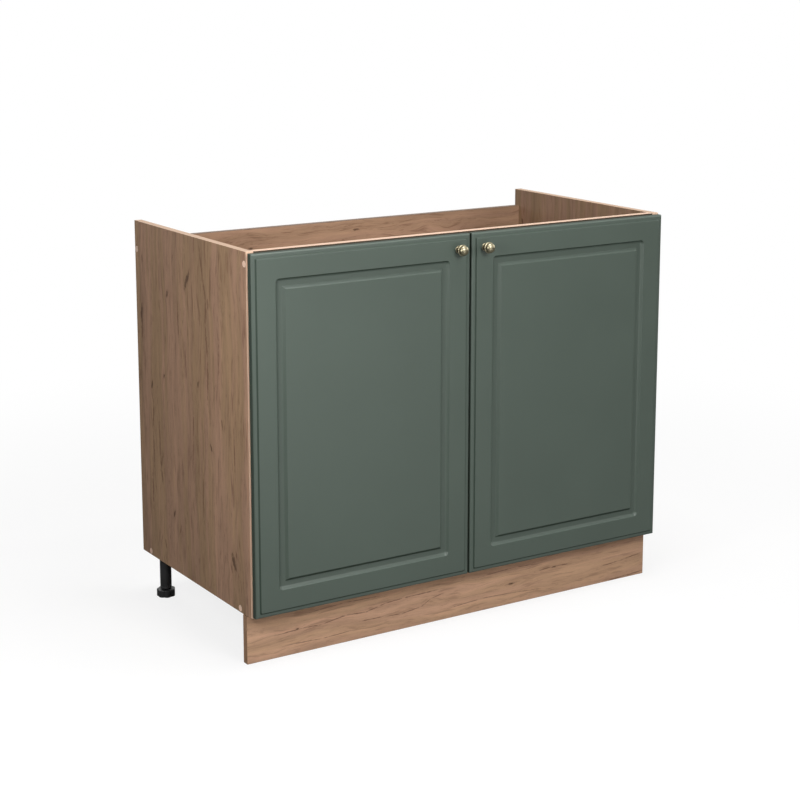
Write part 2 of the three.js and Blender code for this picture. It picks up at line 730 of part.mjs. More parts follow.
function plinthClip() {
  const x = LEG_SIDE_DISTANCE;
  const y = LEG_FRONT_DISTANCE;
  const low = CLIP_MIDDLE - CLIP_HEIGHT / 2;
  const high = CLIP_MIDDLE + CLIP_HEIGHT / 2;
  const inner = LEG_TUBE_RADIUS + CLEARANCE;
  const outer = inner + CLIP_WALL;
  const start = Math.PI / 2 + CLIP_OPENING / 2;
  const end = Math.PI / 2 - CLIP_OPENING / 2 + 2 * Math.PI;
  const ring = new THREE.Shape();
  ring.absarc(x, y, outer, start, end, false);
  ring.absarc(x, y, inner, end, start, true);
  const backOfPlinth = PLINTH_BACK;
  const plateWidth = CLIP_PLATE_HALF_WIDTH;
  return join(
    prism(ring, low, high, 12),
    box(x - plateWidth, x + plateWidth, backOfPlinth, backOfPlinth + CLIP_PLATE, low, high),
    box(x - 4, x + 4, backOfPlinth, y - inner - CLIP_WALL / 2, low, high),
  );
}

placePair('plinth_clip', plinthClip(), BLACK_PLASTIC);

// ---------------------------------------------------------------- origin

// The origin lies on the floor in the middle of the box round the whole cabinet.
cabinet.position.set(-CABINET_WIDTH / 2, -(SIDE_DEPTH + FRONT_MOST) / 2, 0);

export default cabinet;
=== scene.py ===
import json
import math

import bmesh
import bpy
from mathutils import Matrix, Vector
from mathutils.geometry import delaunay_2d_cdt

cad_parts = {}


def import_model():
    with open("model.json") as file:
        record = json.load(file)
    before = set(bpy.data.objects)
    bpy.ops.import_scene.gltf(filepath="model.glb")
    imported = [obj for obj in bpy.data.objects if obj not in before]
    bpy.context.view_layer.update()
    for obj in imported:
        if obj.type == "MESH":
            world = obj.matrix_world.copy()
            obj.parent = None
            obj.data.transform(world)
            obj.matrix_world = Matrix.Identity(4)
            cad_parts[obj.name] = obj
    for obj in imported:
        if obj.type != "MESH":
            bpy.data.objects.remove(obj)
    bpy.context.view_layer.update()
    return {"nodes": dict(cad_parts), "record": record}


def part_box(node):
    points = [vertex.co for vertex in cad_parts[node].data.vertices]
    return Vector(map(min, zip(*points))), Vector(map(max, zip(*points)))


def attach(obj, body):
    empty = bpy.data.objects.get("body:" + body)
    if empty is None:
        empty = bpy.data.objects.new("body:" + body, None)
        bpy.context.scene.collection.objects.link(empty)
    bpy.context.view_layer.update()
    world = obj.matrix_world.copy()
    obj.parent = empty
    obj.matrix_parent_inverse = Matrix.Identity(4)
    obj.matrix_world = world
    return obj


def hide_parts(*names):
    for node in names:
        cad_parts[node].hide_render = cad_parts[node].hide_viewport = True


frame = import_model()

MM = 0.001
RECORD = frame["record"]
BODY_OF = {n: b for b, nodes in RECORD["behaviour"]["bodies"].items() for n in nodes}
SIDES = (("left", False), ("right", True))  # the right side is the left one mirrored


def span(node):
    low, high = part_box(node)
    return low / MM, high / MM


def middle_of(node):
    low, high = span(node)
    return (low + high) / 2


# The planes that outlines are drawn in; h is the height above the outline.

def from_side(u, v, h):
    return h, u, v


def from_above(u, v, h):
    return u, v, h


def from_front(back):
    """Seen from the front, with heights that grow towards the viewer from the plane Y = back."""
    return lambda u, v, h: (u, back - h, v)


# ---- outlines

def arc(centre, radius, start, end, steps):
    turns = [start + (end - start) * i / steps for i in range(steps + 1)]
    return [(centre[0] + radius * math.cos(t), centre[1] + radius * math.sin(t)) for t in turns]


def circle(radius, centre=(0.0, 0.0), steps=32):
    return arc(centre, radius, 0.0, 2 * math.pi, steps)[:-1]


def rectangle(u0, u1, v0, v1, corner=0.5, steps=3):
    """A rectangle with rounded corners, anticlockwise from the end of its first corner."""
    quarter = math.pi / 2
    corners = [((u1 - corner, v0 + corner), -quarter), ((u1 - corner, v1 - corner), 0.0),
               ((u0 + corner, v1 - corner), quarter), ((u0 + corner, v0 + corner), 2 * quarter)]
    points = []
    for centre, start in corners:
        points += arc(centre, corner, start, start + quarter, steps)
    return points


def rectangle_marks(bottom, right, top, left, steps=3):
    """The finish of each wall of a rectangle's outline; a rounded corner takes the edge's."""
    marks = []
    for here, after in ((bottom, right), (right, top), (top, left), (left, bottom)):
        marks += [max(here, after)] * steps + [after]
    return marks


def cross(u0, u1, v0, v1, a0, a1, b0, b1):
    """Two crossed bars: u0 to u1 by v0 to v1 along u, and a0 to a1 by b0 to b1 along v."""
    return [(a1, b0), (a1, v0), (u1, v0), (u1, v1), (a1, v1), (a1, b1),
            (a0, b1), (a0, v1), (u0, v1), (u0, v0), (a0, v0), (a0, b0)]


def plus(reach, half, centre):
    u, v = centre
    return cross(u - reach, u + reach, v - half, v + half, u - half, u + half, v - reach, v + reach)


def inset(outline, distance):
    """The outline moved inwards, each corner along its own bisector."""
    if not distance:
        return list(outline)
    moved = []
    count = len(outline)
    for i, (u, v) in enumerate(outline):
        before, after = Vector(outline[i - 1]), Vector(outline[(i + 1) % count])
        here = Vector((u, v))
        first, second = (here - before).normalized(), (after - here).normalized()
        normal = Vector((-first.y - second.y, first.x + second.x))
        length = normal.length
        step = 2 * distance / max(length, 0.7)
        moved.append((u + normal.x / length * step, v + normal.y / length * step))
    return moved


def inside(point, outline):
    u, v = point
    hit = False
    for i, (u1, v1) in enumerate(outline):
        u0, v0 = outline[i - 1]
        if (v0 > v) != (v1 > v) and u < (u1 - u0) * (v - v0) / (v1 - v0) + u0:
            hit = not hit
    return hit


# ---- meshes

class Shell:
    """The points and faces of one piece. place() turns outline coordinates and a height into XYZ."""

    def __init__(self, place):
        self.place = place
        self.points, self.faces, self.marks = [], [], []

    def ring(self, outline, height):
        start = len(self.points)
        self.points += [self.place(u, v, height) for u, v in outline]
        return list(range(start, len(self.points)))

    def bridge(self, a, b, marks=0):
        for i in range(len(a)):
            j = (i + 1) % len(a)
            self.faces.append((a[i], a[j], b[j], b[i]))
            self.marks.append(marks if isinstance(marks, int) else marks[i])

    def plate(self, rings, mark=0):
        """A flat face inside the first ring and outside the others; rings are (indices, outline)."""
        flat, names, edges = [], [], []
        for indices, outline in rings:
            first = len(flat)
            flat += [Vector(p) for p in outline]
            names += indices
            edges += [(first + i, first + (i + 1) % len(outline)) for i in range(len(outline))]
        points, _, faces, origin, _, _ = delaunay_2d_cdt(flat, edges, [], 0, 1e-6)
        for face in faces:
            middle = sum((points[i] for i in face), Vector((0, 0))) / len(face)
            if not inside(middle, rings[0][1]) or any(inside(middle, o) for _, o in rings[1:]):
                continue
            self.faces.append(tuple(names[origin[i][0]] for i in face))
            self.marks.append(mark)

    def well(self, outline, steps, level, into, mark=0, recess=None, closed=True):
        """A hole or boss in a flat face: steps are (inset, depth); into is the sign of its depth.
        recess is the (outline, depth) of a pocket in its end."""
        first = self.ring(outline, level)
        last, shape, height = first, outline, level
        for shrink, depth in steps:
            shape, height = inset(outline, shrink), level + into * depth
            ring = self.ring(shape, height)
            self.bridge(last, ring, mark)
            last = ring
        if closed:
            rings = [(last, shape)]
            if recess:
                hole, deep = recess
                top = self.ring(hole, height)
                floor = self.ring(inset(hole, 0.15), height + into * deep)
                self.bridge(top, floor, mark)
                self.plate([(floor, inset(hole, 0.15))], mark)
                rings.append((top, hole))
            self.plate(rings, mark)
        return first, last, shape

    def slab(self, outline, low, high, arris=0.4, walls=0, ends=(0, 0), low_wells=(), high_wells=(),
             through=(), steps=3):
        """A prism with rounded end edges. Wells are (outline, steps[, mark[, recess]]);
        through holes are (outline at the low end, steps up to the high end, mark)."""
        turns = [math.pi / 2 * i / steps for i in range(steps + 1)] if arris else [0]
        heights = [(arris * (1 - math.sin(t)), low + arris * (1 - math.cos(t))) for t in turns]
        heights += [(shrink, low + high - height) for shrink, height in reversed(heights)]
        rings = [(self.ring(inset(outline, shrink), height), inset(outline, shrink))
                 for shrink, height in heights]
        for (a, _), (b, _) in zip(rings, rings[1:]):
            self.bridge(a, b, walls)
        low_rings, high_rings = [rings[0]], [rings[-1]]
        for level, into, wells, collected in ((low, 1, low_wells, low_rings),
                                              (high, -1, high_wells, high_rings)):
            for shape, profile, *rest in wells:
                first, _, _ = self.well(shape, profile, level, into, *rest)
                collected.append((first, shape))
        for shape, profile, mark in through:
            first, last, end = self.well(shape, profile, low, 1, mark, closed=False)
            low_rings.append((first, shape))
            high_rings.append((last, end))
        self.plate(low_rings, ends[0])
        self.plate(high_rings, ends[1])

    def lathe(self, profile, steps=48, mark=0, centre=(0.0, 0.0)):
        """A turned solid; the profile's points are (radius, height) and both ends are closed."""
        rings = []
        for radius, height in profile:
            outline = [centre] if radius < 1e-6 else circle(radius, centre, steps)
            rings.append(self.ring(outline, height))
        marks = [mark] * (len(rings) - 1) if isinstance(mark, int) else mark
        for a, b, here in zip(rings, rings[1:], marks):
            if len(a) > 1 and len(b) > 1:
                self.bridge(a, b, here)
                continue
            tip, rim = (a, b) if len(a) == 1 else (b, a)
            for i in range(len(rim)):
                self.faces.append((tip[0], rim[i], rim[(i + 1) % len(rim)]))
                self.marks.append(here)
        for end in (0, -1):
            if len(rings[end]) > 1:
                self.plate([(rings[end], circle(profile[end][0], centre, steps))], marks[end])


def mesh_object(name, shell, mirror):
    flip = -MM if mirror else MM
    mesh = bpy.data.meshes.new(name)
    mesh.from_pydata([(x * flip, y * MM, z * MM) for x, y, z in shell.points], [], shell.faces)
    for polygon, mark in zip(mesh.polygons, shell.marks):
        polygon.material_index = mark
    work = bmesh.new()
    work.from_mesh(mesh)
    bmesh.ops.remove_doubles(work, verts=work.verts, dist=2e-6)
    bmesh.ops.recalc_face_normals(work, faces=work.faces)
    work.to_mesh(mesh)
    work.free()
    made = bpy.data.objects.new(name, mesh)
    bpy.context.scene.collection.objects.link(made)
    return made


def finish(made, node, *materials, sharp=38):
    """Smooths a piece, gives it its finish and lets it stand for its CAD node."""
    for material in materials:
        made.data.materials.append(material)
    made.data.shade_smooth()
    made.data.set_sharp_from_angle(angle=math.radians(sharp))
    weighted = made.modifiers.new("flat faces", "WEIGHTED_NORMAL")
    weighted.keep_sharp = True
    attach(made, BODY_OF[node])
    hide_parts(node)


def piece(node, shell, mirror, *materials, sharp=38):
    finish(mesh_object(node, shell, mirror), node, *materials, sharp=sharp)


def boolean(target, shell, mirror, operation):
    """Cuts a shell out of the target, or joins it on."""
    tool = mesh_object("tool", shell, mirror)
    modifier = target.modifiers.new("cut", "BOOLEAN")
    modifier.operation = operation
    modifier.solver = "EXACT"
    modifier.object = tool
    graph = bpy.context.evaluated_depsgraph_get()
    result = bpy.data.meshes.new_from_object(target.evaluated_get(graph))
    target.modifiers.remove(modifier)
    target.data = result
    bpy.data.objects.remove(tool)


# ---- material wiring

def tint(red, green, blue):
    """A display colour as the linear colour that the shaders take."""
    shares = [value / 255 for value in (red, green, blue)]
    return [s / 12.92 if s <= 0.04045 else ((s + 0.055) / 1.055) ** 2.4 for s in shares]


class Wiring:
    """Adds shader nodes to a tree and hands back their output sockets."""

    def __init__(self, tree):
        self.tree = tree

    def add(self, kind, inputs=None, output=0, **settings):
        node = self.tree.nodes.new("ShaderNode" + kind)
        for name, value in settings.items():
            setattr(node, name, value)
        for key, value in (inputs or {}).items():
            socket = node.inputs[key]
            if isinstance(value, bpy.types.NodeSocket):
                self.tree.links.new(value, socket)
            elif socket.type == "RGBA":
                socket.default_value = (*value, 1.0)
            else:
                socket.default_value = value
        return node.outputs[output] if node.outputs else None

    def math(self, operation, a, b=0.0):
        return self.add("Math", {0: a, 1: b}, operation=operation)

    def times(self, a, b):
        return self.math("MULTIPLY", a, b)

    def total(self, start, *terms):
        """start plus amount times value for each (value, amount)."""
        for value, amount in terms:
            start = self.math("ADD", start, self.times(value, amount))
        return start

    def swing(self, start, *terms):
        """The same for noises, each taken from its mean of one half."""
        return self.total(start, *[(self.math("SUBTRACT", value, 0.5), amount) for value, amount in terms])

    def colour(self, factor, a, b):
        return self.add("Mix", {0: factor, 6: a, 7: b}, 2, data_type="RGBA")

    def scaled(self, colour, level):
        return self.add("VectorMath", {0: colour, 3: level}, operation="SCALE")

    def remap(self, value, low, high, to_low=0.0, to_high=1.0):
        return self.add("MapRange", {0: value, 1: low, 2: high, 3: to_low, 4: to_high},
                        interpolation_type="SMOOTHSTEP")

    def vector(self, x, y, z):
        return self.add("CombineXYZ", {0: x, 1: y, 2: z})

    def length(self, x, y):
        return self.add("VectorMath", {0: self.vector(x, y, 0.0)}, 1, operation="LENGTH")

    def noise(self, vector, scale=1.0, detail=2.0, roughness=0.5, distortion=0.0):
        inputs = {"Vector": vector, "Scale": scale, "Detail": detail, "Roughness": roughness,
                  "Distortion": distortion}
        return self.add("TexNoise", inputs)

    def millimetres(self):
        """Object coordinates in millimetres, as three sockets."""
        place = self.add("TexCoord", output=3)
        split = self.add("SeparateXYZ", {0: self.scaled(place, 1 / MM)}).node
        return list(split.outputs)

    def place(self):
        """The same as one vector."""
        return self.vector(*self.millimetres())

    def stretched(self, along, length, width):
        """Object coordinates divided by length along one axis and by width along the others."""
        axes = enumerate(self.millimetres())
        return self.vector(*[self.math("DIVIDE", a, length if i == along else width) for i, a in axes])

    def bump(self, height, strength, distance):
        inputs = {"Height": height, "Strength": strength, "Distance": distance}
        return self.add("Bump", inputs)


def new_material(name):
    """The wiring of a new, empty material."""
    material = bpy.data.materials.new(name)
    material.use_nodes = True
    material.node_tree.nodes.clear()
    wiring = Wiring(material.node_tree)
    wiring.material = material
    return wiring


def surface(wiring, **inputs):
    """Ends a material in one shader and returns it."""
    names = {"colour": "Base Color", "roughness": "Roughness", "metallic": "Metallic",
             "normal": "Normal", "specular": "Specular IOR Level"}
    shader = wiring.add("BsdfPrincipled", {names[k]: v for k, v in inputs.items()})
    wiring.add("OutputMaterial", {0: shader})
    return wiring.material


# ---- wood decor

def feature_group():
    """A knot or streak at a place in the decor: how dark it is here and how it bends the grain."""
    group = bpy.data.node_groups.new("grain_feature", "ShaderNodeTree")
    given = ("U", "V", "U0", "V0", "Half length", "Half width", "Slant", "Wobble")
    for names, way in ((given, "INPUT"), (("Dark", "Push", "Near"), "OUTPUT")):
        for name in names:
            group.interface.new_socket(name, in_out=way, socket_type="NodeSocketFloat")
    w = Wiring(group)
    sockets = group.nodes.new("NodeGroupInput").outputs
    u, v, u0, v0, half_length, half_width, slant, wobble = [sockets[name] for name in given]
    along = w.math("SUBTRACT", u, u0)
    across = w.math("SUBTRACT", w.math("SUBTRACT", v, v0), w.times(along, slant))
    far = w.length(w.math("DIVIDE", along, half_length), w.math("DIVIDE", across, half_width))
    far = w.math("ADD", far, wobble)
    dark = w.remap(far, 1.05, 0.35)
    near = w.math("EXPONENT", w.times(w.times(far, far), -0.28))
    push = w.times(w.times(across, near), 0.62)
    out = group.nodes.new("NodeGroupOutput")
    for socket, value in zip(out.inputs, (dark, push, near)):
        group.links.new(value, socket)
    return group


FEATURE = feature_group()
OAK_PINK = (0.432, 0.262, 0.172)
OAK_OLIVE = (0.388, 0.247, 0.143)
OAK_DARK = (0.190, 0.100, 0.060)
OAK_KNOT = (0.105, 0.055, 0.034)


def oak(name, grain, across, seed, knots=(), streaks=(), wave=4.0, tone_and_painted_light=1.0, veined=1.0, olive=1.0,
        painted_shade_fall=None):
    """Oak decor on a melamine board. grain and across are the axes (0, 1 or 2) of the figure;
    knots and streaks are (along, across, half length, half width, slant) in millimetres.
    The brightness factor scales the decor and carries painted light and shade where it is set off 1; the
    last argument, (from, to, share), is painted shade: along the grain the brightness falls to that share."""
    w = new_material(name)
    axes = w.millimetres()
    u, v = axes[grain], axes[across]
    depth = axes[3 - grain - across]

    def patch(length, width, offset):
        place = w.vector(w.math("DIVIDE", u, length), w.math("DIVIDE", v, width), seed + offset)
        return w.noise(place)

    bent = w.swing(v, (patch(170.0, 60.0, 0.0), wave * 9), (patch(38.0, 16.0, 3.1), wave * 0.9))
    wobble = w.swing(0.0, (patch(9.0, 3.0, 7.7), 1.7))

    def feature(place):
        inputs = dict(enumerate((u, v, *place, wobble)))
        return w.add("Group", inputs, node_tree=FEATURE).node.outputs

    darkness, soft, near = 0.0, 0.0, 0.0
    for dark, push, close in map(feature, knots):
        bent = w.math("SUBTRACT", bent, push)
        near = w.math("MAXIMUM", near, close)
        darkness = w.math("MAXIMUM", darkness, dark)
    for dark, _, _ in map(feature, streaks):
        soft = w.math("MAXIMUM", soft, dark)
    through = w.math("DIVIDE", depth, 40.0)

    def figure(length, width, offset, detail=2.0, distortion=0.0):
        place = w.vector(w.math("DIVIDE", u, length), w.math("DIVIDE", bent, width),
                         w.math("ADD", through, seed + offset))
        return w.noise(place, 1.0, detail, 0.55, distortion)

    plank = figure(900.0, 46.0, 11.0)
    hue = figure(620.0, 26.0, 23.0, 3.0)
    strand = figure(190.0, 12.0, 17.0, 5.0, 0.3)
    vein = figure(70.0, 6.0, 29.0, 5.0, 0.5)
    fleck = figure(19.0, 2.6, 37.0)
    fibre = figure(42.0, 0.7, 41.0, 3.0)
    pore = figure(7.5, 0.34, 43.0, 1.0)
    cloud = patch(240.0, 90.0, 51.0)

    colour = w.colour(w.remap(hue, 0.42, 0.58, 1.0 - olive, 1.0), OAK_OLIVE, OAK_PINK)
    level = w.swing(1.03, (plank, 0.50), (strand, 0.75), (cloud, 0.16), (fibre, 0.42))
    # Painted light and shade: the brightness factor and its fall along the grain.
    level = w.times(level, tone_and_painted_light)
    if painted_shade_fall:
        level = w.times(level, w.remap(u, painted_shade_fall[0], painted_shade_fall[1], 1.0, painted_shade_fall[2]))
    veins = w.times(w.remap(vein, 0.53, 0.68), 0.62 * veined)
    flecks = w.times(w.remap(fleck, 0.54, 0.72), w.remap(strand, 0.58, 0.38, 0.10, 0.62))
    for value, amount in ((flecks, veined), (near, 0.28), (soft, 0.80)):
        veins = w.math("MAXIMUM", veins, w.times(value, amount))
    lit = w.colour(veins, w.scaled(colour, level), OAK_DARK)
    pores = w.times(w.remap(pore, 0.60, 0.78), 0.30)
    lit = w.colour(pores, lit, OAK_DARK)
    lit = w.colour(w.times(darkness, 0.88), lit, OAK_KNOT)
    height = w.total(0.0, (fibre, 0.5), (pores, -1.2), (veins, -0.3))
    return surface(w, colour=lit, roughness=w.total(0.44, (fibre, 0.16), (cloud, 0.08)), specular=0.2,
                   normal=w.bump(height, 0.35, 0.00012))


def edge_band(name, grain, colour, seed):
    """Thin plastic edging with a faint printed grain along the board."""
    w = new_material(name)
    streak = w.noise(w.stretched(grain, 60.0, 0.9), 1.0, 3.0)
    patch = w.noise(w.stretched(grain, 170.0, 6.0))
    shade = w.scaled(colour, w.total(0.74, (streak, 0.22), (patch, 0.3)))
    return surface(w, colour=shade, roughness=w.total(0.42, (patch, 0.2)), specular=0.35,
                   normal=w.bump(streak, 0.25, 0.0001))


def chipboard(name):
    w = new_material(name)
    place = w.stretched(0, 2.4, 1.5)
    flakes = w.add("TexVoronoi", {"Vector": place, "Scale": 1.0}, 1)
    pick = w.add("SeparateXYZ", {0: flakes})
    fine = w.noise(place, 3.0, 3.0)
    colour = w.colour(w.remap(pick, 0.1, 0.9), tint(176, 142, 104), tint(120, 88, 58))
    colour = w.colour(w.times(fine, 0.5), colour, tint(196, 168, 128))
    return surface(w, colour=colour, roughness=0.86, specular=0.2,
                   normal=w.bump(w.math("ADD", pick, fine), 0.6, 0.0003))


# ---- other finishes

def film(name, colour, rough, gloss=0.64):
    """Matt film pressed over a routed door: a satin haze and the slightest orange peel."""
    w = new_material(name)
    place = w.place()
    peel = w.noise(place, 0.16)
    grit = w.noise(place, 3.2)
    cloud = w.noise(place, 0.006, 3.0)
    height = w.total(0.0, (peel, 0.5), (grit, 0.08))
    shade = w.scaled(colour, w.swing(1.0, (cloud, 0.14), (grit, 0.05)))
    return surface(w, colour=shade, roughness=w.total(rough - 0.05, (cloud, 0.10), (grit, 0.05)),
                   specular=gloss, normal=w.bump(height, 0.22, 0.0002))


def melamine(name, colour):
    """The plain coated back of a door."""
    w = new_material(name)
    place = w.place()
    grit = w.noise(place, 1.1, 3.0)
    shade = w.scaled(colour, w.total(0.94, (w.noise(place, 0.01), 0.08)))
    return surface(w, colour=shade, roughness=w.total(0.42, (grit, 0.2)), specular=0.4,
                   normal=w.bump(grit, 0.3, 0.0001))


def metal(name, bright, dull, rough, wear=0.5, brushed=None, relief=0.18):
    """Plated metal: fine brushing or casting marks, with duller patches."""
    w = new_material(name)
    place = w.place()
    if brushed is None:
        marks = w.noise(place, 1.4, 4.0)
    else:
        marks = w.noise(w.stretched(brushed, 9.0, 0.22), 1.0, 3.0)
    patch = w.noise(place, 0.22, 3.0)
    colour = w.colour(w.times(w.remap(patch, 0.35, 0.75), wear), bright, dull)
    return surface(w, colour=colour, metallic=1.0, normal=w.bump(marks, relief, 0.00006),
                   roughness=w.total(rough - 0.07, (marks, 0.14), (patch, 0.10 * wear)))


def plastic(name, colour, rough):
    """Moulded plastic with a fine spark-eroded texture."""
    w = new_material(name)
    place = w.place()
    grit, patch = w.noise(place, 2.2), w.noise(place, 0.05)
    shade = w.scaled(colour, w.total(0.55, (grit, 0.5), (patch, 0.4)))
    return surface(w, colour=shade, roughness=w.total(rough - 0.1, (patch, 0.2)), specular=0.45,
                   normal=w.bump(grit, 0.35, 0.0001))


# One peach edge band in three tints, set to how bright each set of edges shows under the lamps: painted
# light on the upright front edges, painted shade on the side panels' tops, and a level between on the long
# edges.
UPRIGHT_BAND_PAINTED_LIGHT = edge_band("edge_band_upright_painted_light", 2, tint(232, 198, 172), 1.0)
TOP_BAND_PAINTED_SHADE = edge_band("edge_band_top_painted_shade", 1, tint(186, 155, 129), 2.0)
LONG_BAND_PAINTED_LEVEL = edge_band("edge_band_long_painted_level", 0, tint(214, 181, 157), 3.0)
EDGE_BROWN = edge_band("edge_brown", 2, tint(165, 129, 99), 4.0)
# Not an edging: a dark strip of painted shadow, for the gap above the doors on the front rail's front
# wall.
GAP_SHADOW_STRIP = edge_band("painted_gap_shadow", 0, tint(72, 60, 48), 5.0)
EDGE_UMBER = edge_band("edge_umber", 0, tint(108, 86, 68), 6.0)
RAW = chipboard("chipboard_edge")
GREEN = film("green_film", (0.068, 0.093, 0.074), 0.44)
# Two darker copies of the green film, as painted shade: the darker one on the doors' side edges, the rim
# step and the groove's top and bottom walls, the other on the top of the rim step.
GREEN_FILM_SHADE_DARK = film("green_film_painted_shade_dark", (0.044, 0.061, 0.048), 0.55, 0.15)
GREEN_FILM_SHADE_MID = film("green_film_painted_shade_mid", (0.049, 0.068, 0.054), 0.52, 0.25)
DOOR_BACK = melamine("door_back_melamine", tint(214, 210, 202))
BRASS = metal("antique_brass", (0.32, 0.285, 0.19), (0.22, 0.19, 0.115), 0.30, 0.35, relief=0.03)
PATINA = metal("brass_patina", (0.06, 0.05, 0.03), (0.03, 0.024, 0.015), 0.38, 0.7)
NICKEL = metal("nickel_plate", (0.62, 0.61, 0.59), (0.42, 0.41, 0.40), 0.28, 0.5, 1)
ZINC = metal("zinc_plate", (0.50, 0.51, 0.53), (0.34, 0.34, 0.36), 0.38, 0.7)
BLACK = plastic("black_plastic", (0.022, 0.022, 0.023), 0.48)
# The caps' pale peach is partly their own colour and partly painted highlight.
CAP = plastic("cap_peach_plastic_and_painted_highlight", (0.92, 0.66, 0.51), 0.5)

# ---- carcass boards

# The finish of each wall and face of a board, as places in its list of materials.
# The fourth place holds the side panels' raw bottom edge, and on the front rail a strip of painted shadow.
WOOD, BAND, UNCOATED, LOWER_EDGE_AND_SHADOW_STRIP, TOP_BAND, INNER = range(6)
CLEARANCE = 0.3
SCREW_HEAD_RADIUS, SCREW_HEAD_LENGTH = 5.0, 4.5
SHANK_RADIUS = 3.4
SCREW_LOW, SCREW_HIGH = span("left_front_rail_screw")
CAPS = ("front_rail", "back_rail", "bottom_front", "bottom_back")
CAP_LOW, CAP_HIGH = span("left_front_rail_cap")
CAP_RADIUS = (CAP_HIGH.y - CAP_LOW.y) / 2
HINGES = ("lower", "upper")
PLATE_SCREW_SETBACK = 37.0
PLATE_SCREW_HALF_PITCH = 16.0
PLATE_SCREW_RADIUS, PLATE_SCREW_LENGTH = 2.5, 11.0
BUILD_X, BUILD_Y, _ = span("left_side_panel")[0]  # outer face and front edge of the left side


def cap_place(spot):
    return middle_of(f"left_{spot}_cap").yz


def hinge_height(level):
    return middle_of(f"left_{level}_hinge_cup").z


def side_panel(name, mirror, *finishes):
    low, high = span("left_side_panel")
    shell = Shell(from_side)
    recess = SCREW_LOW.x - low.x
    shoulder = recess + SCREW_HEAD_LENGTH + CLEARANCE
    head, shank = CAP_RADIUS - SCREW_HEAD_RADIUS, CAP_RADIUS - SHANK_RADIUS
    steps = [(0, recess), (head, recess), (head, shoulder), (shank, shoulder), (shank, high.x - low.x)]
    bores = [(circle(CAP_RADIUS + CLEARANCE, cap_place(spot), 40), steps, WOOD) for spot in CAPS]
    pilots = []
    for level in HINGES:
        for side in (-1, 1):
            centre = (low.y + PLATE_SCREW_SETBACK, hinge_height(level) + side * PLATE_SCREW_HALF_PITCH)
            pilots.append((circle(PLATE_SCREW_RADIUS + CLEARANCE, centre, 16),
                           [(0, PLATE_SCREW_LENGTH + CLEARANCE)]))
    outline = rectangle(low.y, high.y, low.z, high.z, 0.8)
    walls = rectangle_marks(LOWER_EDGE_AND_SHADOW_STRIP, UNCOATED, BAND, BAND)
    # The top edge has its own band, so that its printed grain runs along the board; its darker tint is
    # painted shade.
    walls = [TOP_BAND if 5 <= i <= 7 else m for i, m in enumerate(walls)]
    shell.slab(outline, low.x, high.x, 0.5, walls, (WOOD, INNER), high_wells=pilots, through=bores)
    piece(name, shell, mirror, *finishes)


FRONT_WALL = 11  # of a rectangle drawn from the side


def cross_board(name, spots, walls, *finishes, shadow_strip=None):
    """A board between the sides; a strip of its front wall, a given depth below the top, can be parted off
    for painted shadow.
    """
    low, high = span(name)
    shell = Shell(from_side)
    reach = SCREW_HIGH.x - low.x + CLEARANCE
    wells = [(circle(SHANK_RADIUS + CLEARANCE, cap_place(spot), 20), [(0, reach)]) for spot in spots]
    outline = rectangle(low.y, high.y, low.z, high.z)
    if shadow_strip:
        outline.insert(FRONT_WALL + 1, (low.y, high.z - shadow_strip))
        # The parted strip takes the fourth place: painted shadow on the front rail.
        walls = walls[:FRONT_WALL] + [LOWER_EDGE_AND_SHADOW_STRIP] + walls[FRONT_WALL:]
    shell.slab(outline, low.x, high.x, 0, walls, low_wells=wells, high_wells=wells)
    piece(name, shell, False, *finishes)


def line(points, width):
    """A dark line in the decor through those points, as one streak for each stretch."""
    return [((u0 + u1) / 2, (v0 + v1) / 2, abs(u1 - u0) / 2 * 1.35, width, (v1 - v0) / (u1 - u0))
            for (u0, v0), (u1, v1) in zip(points, points[1:])]


# Measured up from the floor and back from the front edge of the left side.
SIDE_KNOTS = [(z, y + BUILD_Y, a, b, s) for y, z, a, b, s in (
    (254, 730, 24, 8.0, -0.62), (348, 687, 9, 5.0, -0.3), (474, 628, 26, 7.0, -0.12),
    (70, 195, 24, 9.0, 0.35), (213, 525, 9, 4.4, -0.3), (432, 481, 10, 4.4, -0.2),
    (372, 510, 6, 3.4, -0.4), (160, 406, 9, 4.2, 0.3), (337, 224, 10, 4.6, -0.3))]
SIDE_STREAKS = [(z, y + BUILD_Y, a, b, s) for y, z, a, b, s in (
    (467, 742, 16, 4.0, 0.05), (163, 695, 18, 3.6, 0.0), (111, 465, 14, 3.4, 0.2),
    (309, 196, 12, 3.6, -0.2), (383, 145, 14, 3.6, 0.2), (59, 212, 12, 5.0, 0.2),
    (80, 180, 12, 5.0, 0.3), (474, 590, 30, 6.0, -0.05), (300, 640, 50, 3.0, 0.04),
    (120, 590, 56, 3.0, -0.03), (400, 360, 70, 4.0, 0.02), (60, 420, 60, 3.0, 0.03),
    (200, 300, 56, 3.4, -0.04), (268, 560, 44, 3.0, 0.05), (440, 250, 50, 4.0, 0.0))]
for points, width in (([(800, 196), (745, 184), (700, 172), (650, 177), (580, 168), (500, 172)], 4.6),
                      ([(470, 236), (405, 240), (340, 246)], 3.0),
                      ([(335, 392), (305, 396), (277, 390)], 4.4),
                      ([(455, 425), (380, 432), (300, 430)], 4.0)):
    SIDE_STREAKS += line([(z, y + BUILD_Y) for z, y in points], width)
left_oak = oak("oak_left_side", 2, 1, 3.0, SIDE_KNOTS, SIDE_STREAKS)
right_oak = oak("oak_right_side", 2, 1, 71.0,
                [(690, 90, 16, 6, 0.3), (520, -90, 20, 7, -0.2), (300, 150, 14, 5, 0.25)],
                line([(780, -20), (690, -32), (600, -24), (500, -30)], 4.0)
                + line([(430, 60), (350, 66), (260, 58)], 3.4))
